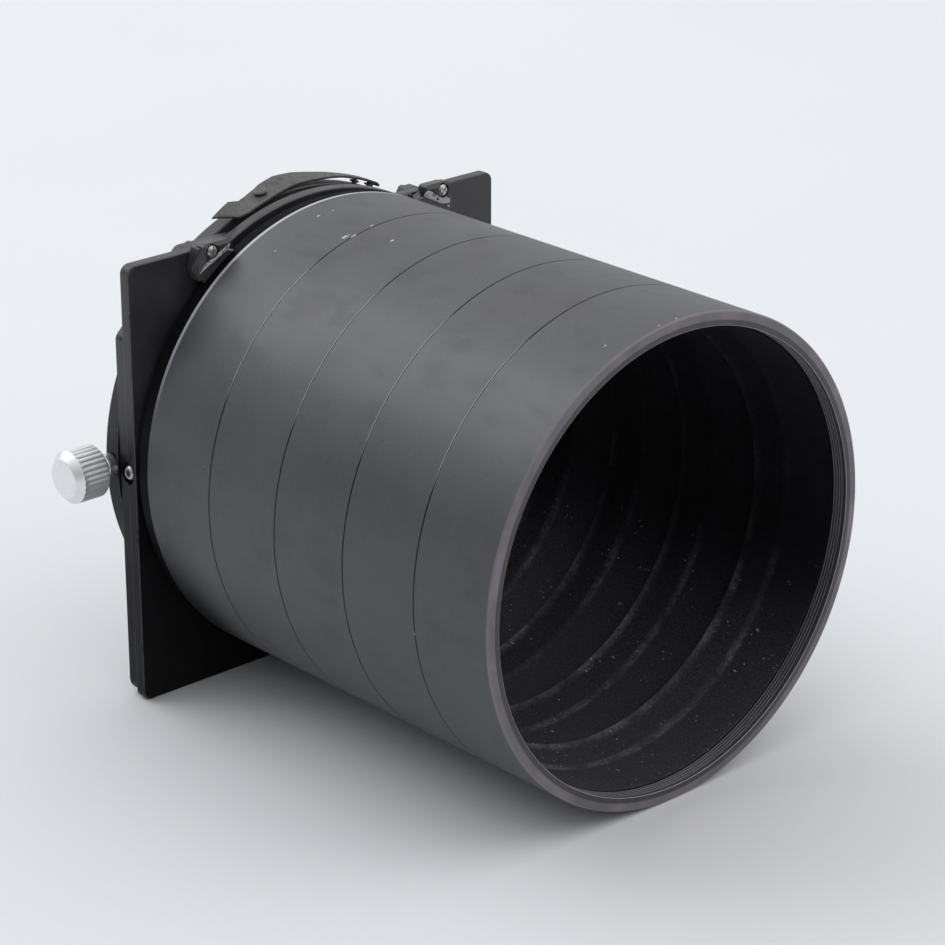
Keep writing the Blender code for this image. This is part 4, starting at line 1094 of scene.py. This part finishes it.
def screws():
    """Cross-slot screws in the lugs, slotted ones behind, and socket grub screws at the sides."""
    plates_back = span("rear_plate", "y")[1]
    for side, word in ((-1, "left"), (1, "right")):
        place = (side * LUG_SCREW_PLACE[0], LUG_SCREW_PLACE[1])
        front, end = span(f"lug_screw_{word}", "y")
        headed_screw(f"lug_screw_{word}", place, [
            (0, front), (0.75, front, 0.2), (1.2, front + 0.35, 0.2), (1.2, front + 0.8, 0.05),
            (0.5, front + 0.8), (0.5, end, 0.05), (0, end)],
            2, 0.30, 0.38, front, (0, -1, 0), math.radians(20 + 30 * side), WORN_STEEL)
        place = (side * LUG_BACK_SCREW_PLACE[0], LUG_BACK_SCREW_PLACE[1])
        back_screw(f"lug_back_screw_{word}", place, span(f"lug_back_screw_{word}", "y")[0],
                   plates_back, 0.5, 1.3, 0.6 * side)
        inner, outer = sorted(abs(value) for value in span(f"grub_screw_{word}", "x"))
        item = turned(f"grub_screw_{word}_socket", rounded([
            (0, inner), (1.2, inner), *thread(1.5, inner + 0.1, outer - 0.6, 0.45, -0.15),
            (1.5, outer - 0.45, 0.05), (1.15, outer, 0.15), (0, outer)], closed=False),
            (0, GRUB_Y, GRUB_Z), (side, 0, 0), SMALL_STEPS)
        socket = rod((side * (outer - 1.1), GRUB_Y, GRUB_Z), (side, 0, 0), 0.8, 3, 6)
        show(carve(item, [socket]), f"grub_screw_{word}", WORN_STEEL)
    places = [(x * RING_SCREW_REACH, z * RING_SCREW_REACH) for x in (-1, 1) for z in (-1, 1)]
    for number, place in enumerate(places, start=1):
        node = f"ring_screw_{number}"
        back_screw(node, place, span(node, "y")[0], CLAMP_RING_BACK, 0.8, 1.2, 0.9 * number)


for section_number in range(1, SECTION_COUNT + 1):
    hood_section(section_number)
    flock_lining(section_number)
flanged_neck()
front_plate()
rear_plate()
lens_clamp_ring()
clamp_felt()
thumb_screw()
catch_strip()
catch_pin_and_rivets()
retaining_lug(-1)
retaining_lug(1)
screws()


# Studio: a pale floor that carries the rim's lowest point and the front plate's lower edge.
# The lights' places and sizes are metres from the barrel's middle

FLOOR_SIZE = 12.0
FLOOR_TONE = (0.785, 0.800, 0.820)
DOME_TONE = (0.98, 0.99, 1.0)
SOFTBOX_TONE = (0.93, 0.965, 1.0)
DOME_LEAN = (0.30, 0.12, 0.95)
DOME_LOW = 0.10
DOME_HIGH = 1.02
DOME_RANGE = (-0.30, 0.80)
SOFTBOX_PLACE = (-0.75, 2.10, 2.05)
SOFTBOX_SIZE = (2.6, 2.2)
SOFTBOX_POWER = 26
FILL_PLACE = (1.30, -1.60, 1.70)
FILL_SIZE = (1.6, 1.6)
FILL_POWER = 6
CAMERA_AZIMUTH = 42.287
CAMERA_ELEVATION = 21.986
CAMERA_LENS = 125.82
CAMERA_PLACE = (-409.28, -392.17, 246.96)


def studio_floor():
    look = Look("pale_paper", Roughness=0.9, Specular_IOR_Level=0.2)
    cloudy = look.noise(160, 3.0)
    fibre = look.noise(0.8, 4.0)
    tone = look.mix(look.step(cloudy, 0.3, 0.7), FLOOR_TONE, scaled(FLOOR_TONE, 0.985))
    tone = look.mix(look.step(fibre, 0.3, 0.7, 0.0, 0.4), tone, scaled(FLOOR_TONE, 0.97))
    look.set(Base_Color=tone)
    look.bump(fibre, 0.05, 0.15)
    work = bmesh.new()
    bmesh.ops.create_grid(work, x_segments=4, y_segments=4, size=FLOOR_SIZE / 2)
    floor = from_bmesh("floor", work)
    floor.data.materials.append(look.material)
    rim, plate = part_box("hood_section_1")[0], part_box("front_plate")[0]
    slope = (plate.z - rim.z) / (plate.y - rim.y)
    floor.location = (0, rim.y, rim.z)
    floor.rotation_euler = (math.atan(slope), 0, 0)


def area_light(name, offset, size, power, color=(1, 1, 1)):
    """A rectangular light that faces the barrel's middle from some offset."""
    data = bpy.data.lights.new(name, "AREA")
    data.shape = "RECTANGLE"
    data.size, data.size_y = size
    data.energy = power
    data.color = color
    item = link(name, data)
    middle = spot(0, BARREL_LENGTH / 2, 0)
    item.location = middle + Vector(offset)
    item.rotation_euler = (item.location - middle).to_track_quat("Z", "Y").to_euler()


def studio_light():
    """A soft dome, dim at the left horizon and bright overhead, a softbox behind and a fill."""
    world = bpy.data.worlds.new("studio")
    world.use_nodes = True
    nodes, links = world.node_tree.nodes, world.node_tree.links
    direction = nodes.new("ShaderNodeTexCoord").outputs["Generated"]
    height = nodes.new("ShaderNodeVectorMath")
    height.operation = "DOT_PRODUCT"
    height.inputs[1].default_value = DOME_LEAN
    links.new(direction, height.inputs[0])
    brightness = nodes.new("ShaderNodeMapRange")
    brightness.interpolation_type = "SMOOTHSTEP"
    for name, value in (("From Min", DOME_RANGE[0]), ("From Max", DOME_RANGE[1]),
                        ("To Min", DOME_LOW), ("To Max", DOME_HIGH)):
        brightness.inputs[name].default_value = value
    links.new(height.outputs["Value"], brightness.inputs["Value"])
    background = nodes["Background"]
    background.inputs["Color"].default_value = (*DOME_TONE, 1.0)
    links.new(brightness.outputs["Result"], background.inputs["Strength"])
    seen = nodes.new("ShaderNodeBackground")
    seen.inputs["Color"].default_value = (*FLOOR_TONE, 1.0)
    choice = nodes.new("ShaderNodeMixShader")
    links.new(nodes.new("ShaderNodeLightPath").outputs["Is Camera Ray"], choice.inputs["Fac"])
    links.new(background.outputs["Background"], choice.inputs[1])
    links.new(seen.outputs["Background"], choice.inputs[2])
    links.new(choice.outputs["Shader"], nodes["World Output"].inputs["Surface"])
    bpy.context.scene.world = world
    area_light("softbox_behind", SOFTBOX_PLACE, SOFTBOX_SIZE, SOFTBOX_POWER, SOFTBOX_TONE)
    area_light("fill_in_front", FILL_PLACE, FILL_SIZE, FILL_POWER)


def camera():
    azimuth, elevation = math.radians(CAMERA_AZIMUTH), math.radians(CAMERA_ELEVATION)
    forward = Vector((math.sin(azimuth) * math.cos(elevation),
                      math.cos(azimuth) * math.cos(elevation), -math.sin(elevation)))
    data = bpy.data.cameras.new("camera")
    data.sensor_width = 36.0
    data.lens = CAMERA_LENS
    data.clip_start = 0.01
    data.clip_end = 50.0
    item = link("camera", data)
    item.location = spot(*CAMERA_PLACE)
    item.rotation_mode = "QUATERNION"
    item.rotation_quaternion = forward.to_track_quat("-Z", "Y")
    bpy.context.scene.camera = item


studio_floor()
studio_light()
camera()
bpy.context.scene.view_settings.view_transform = "Standard"
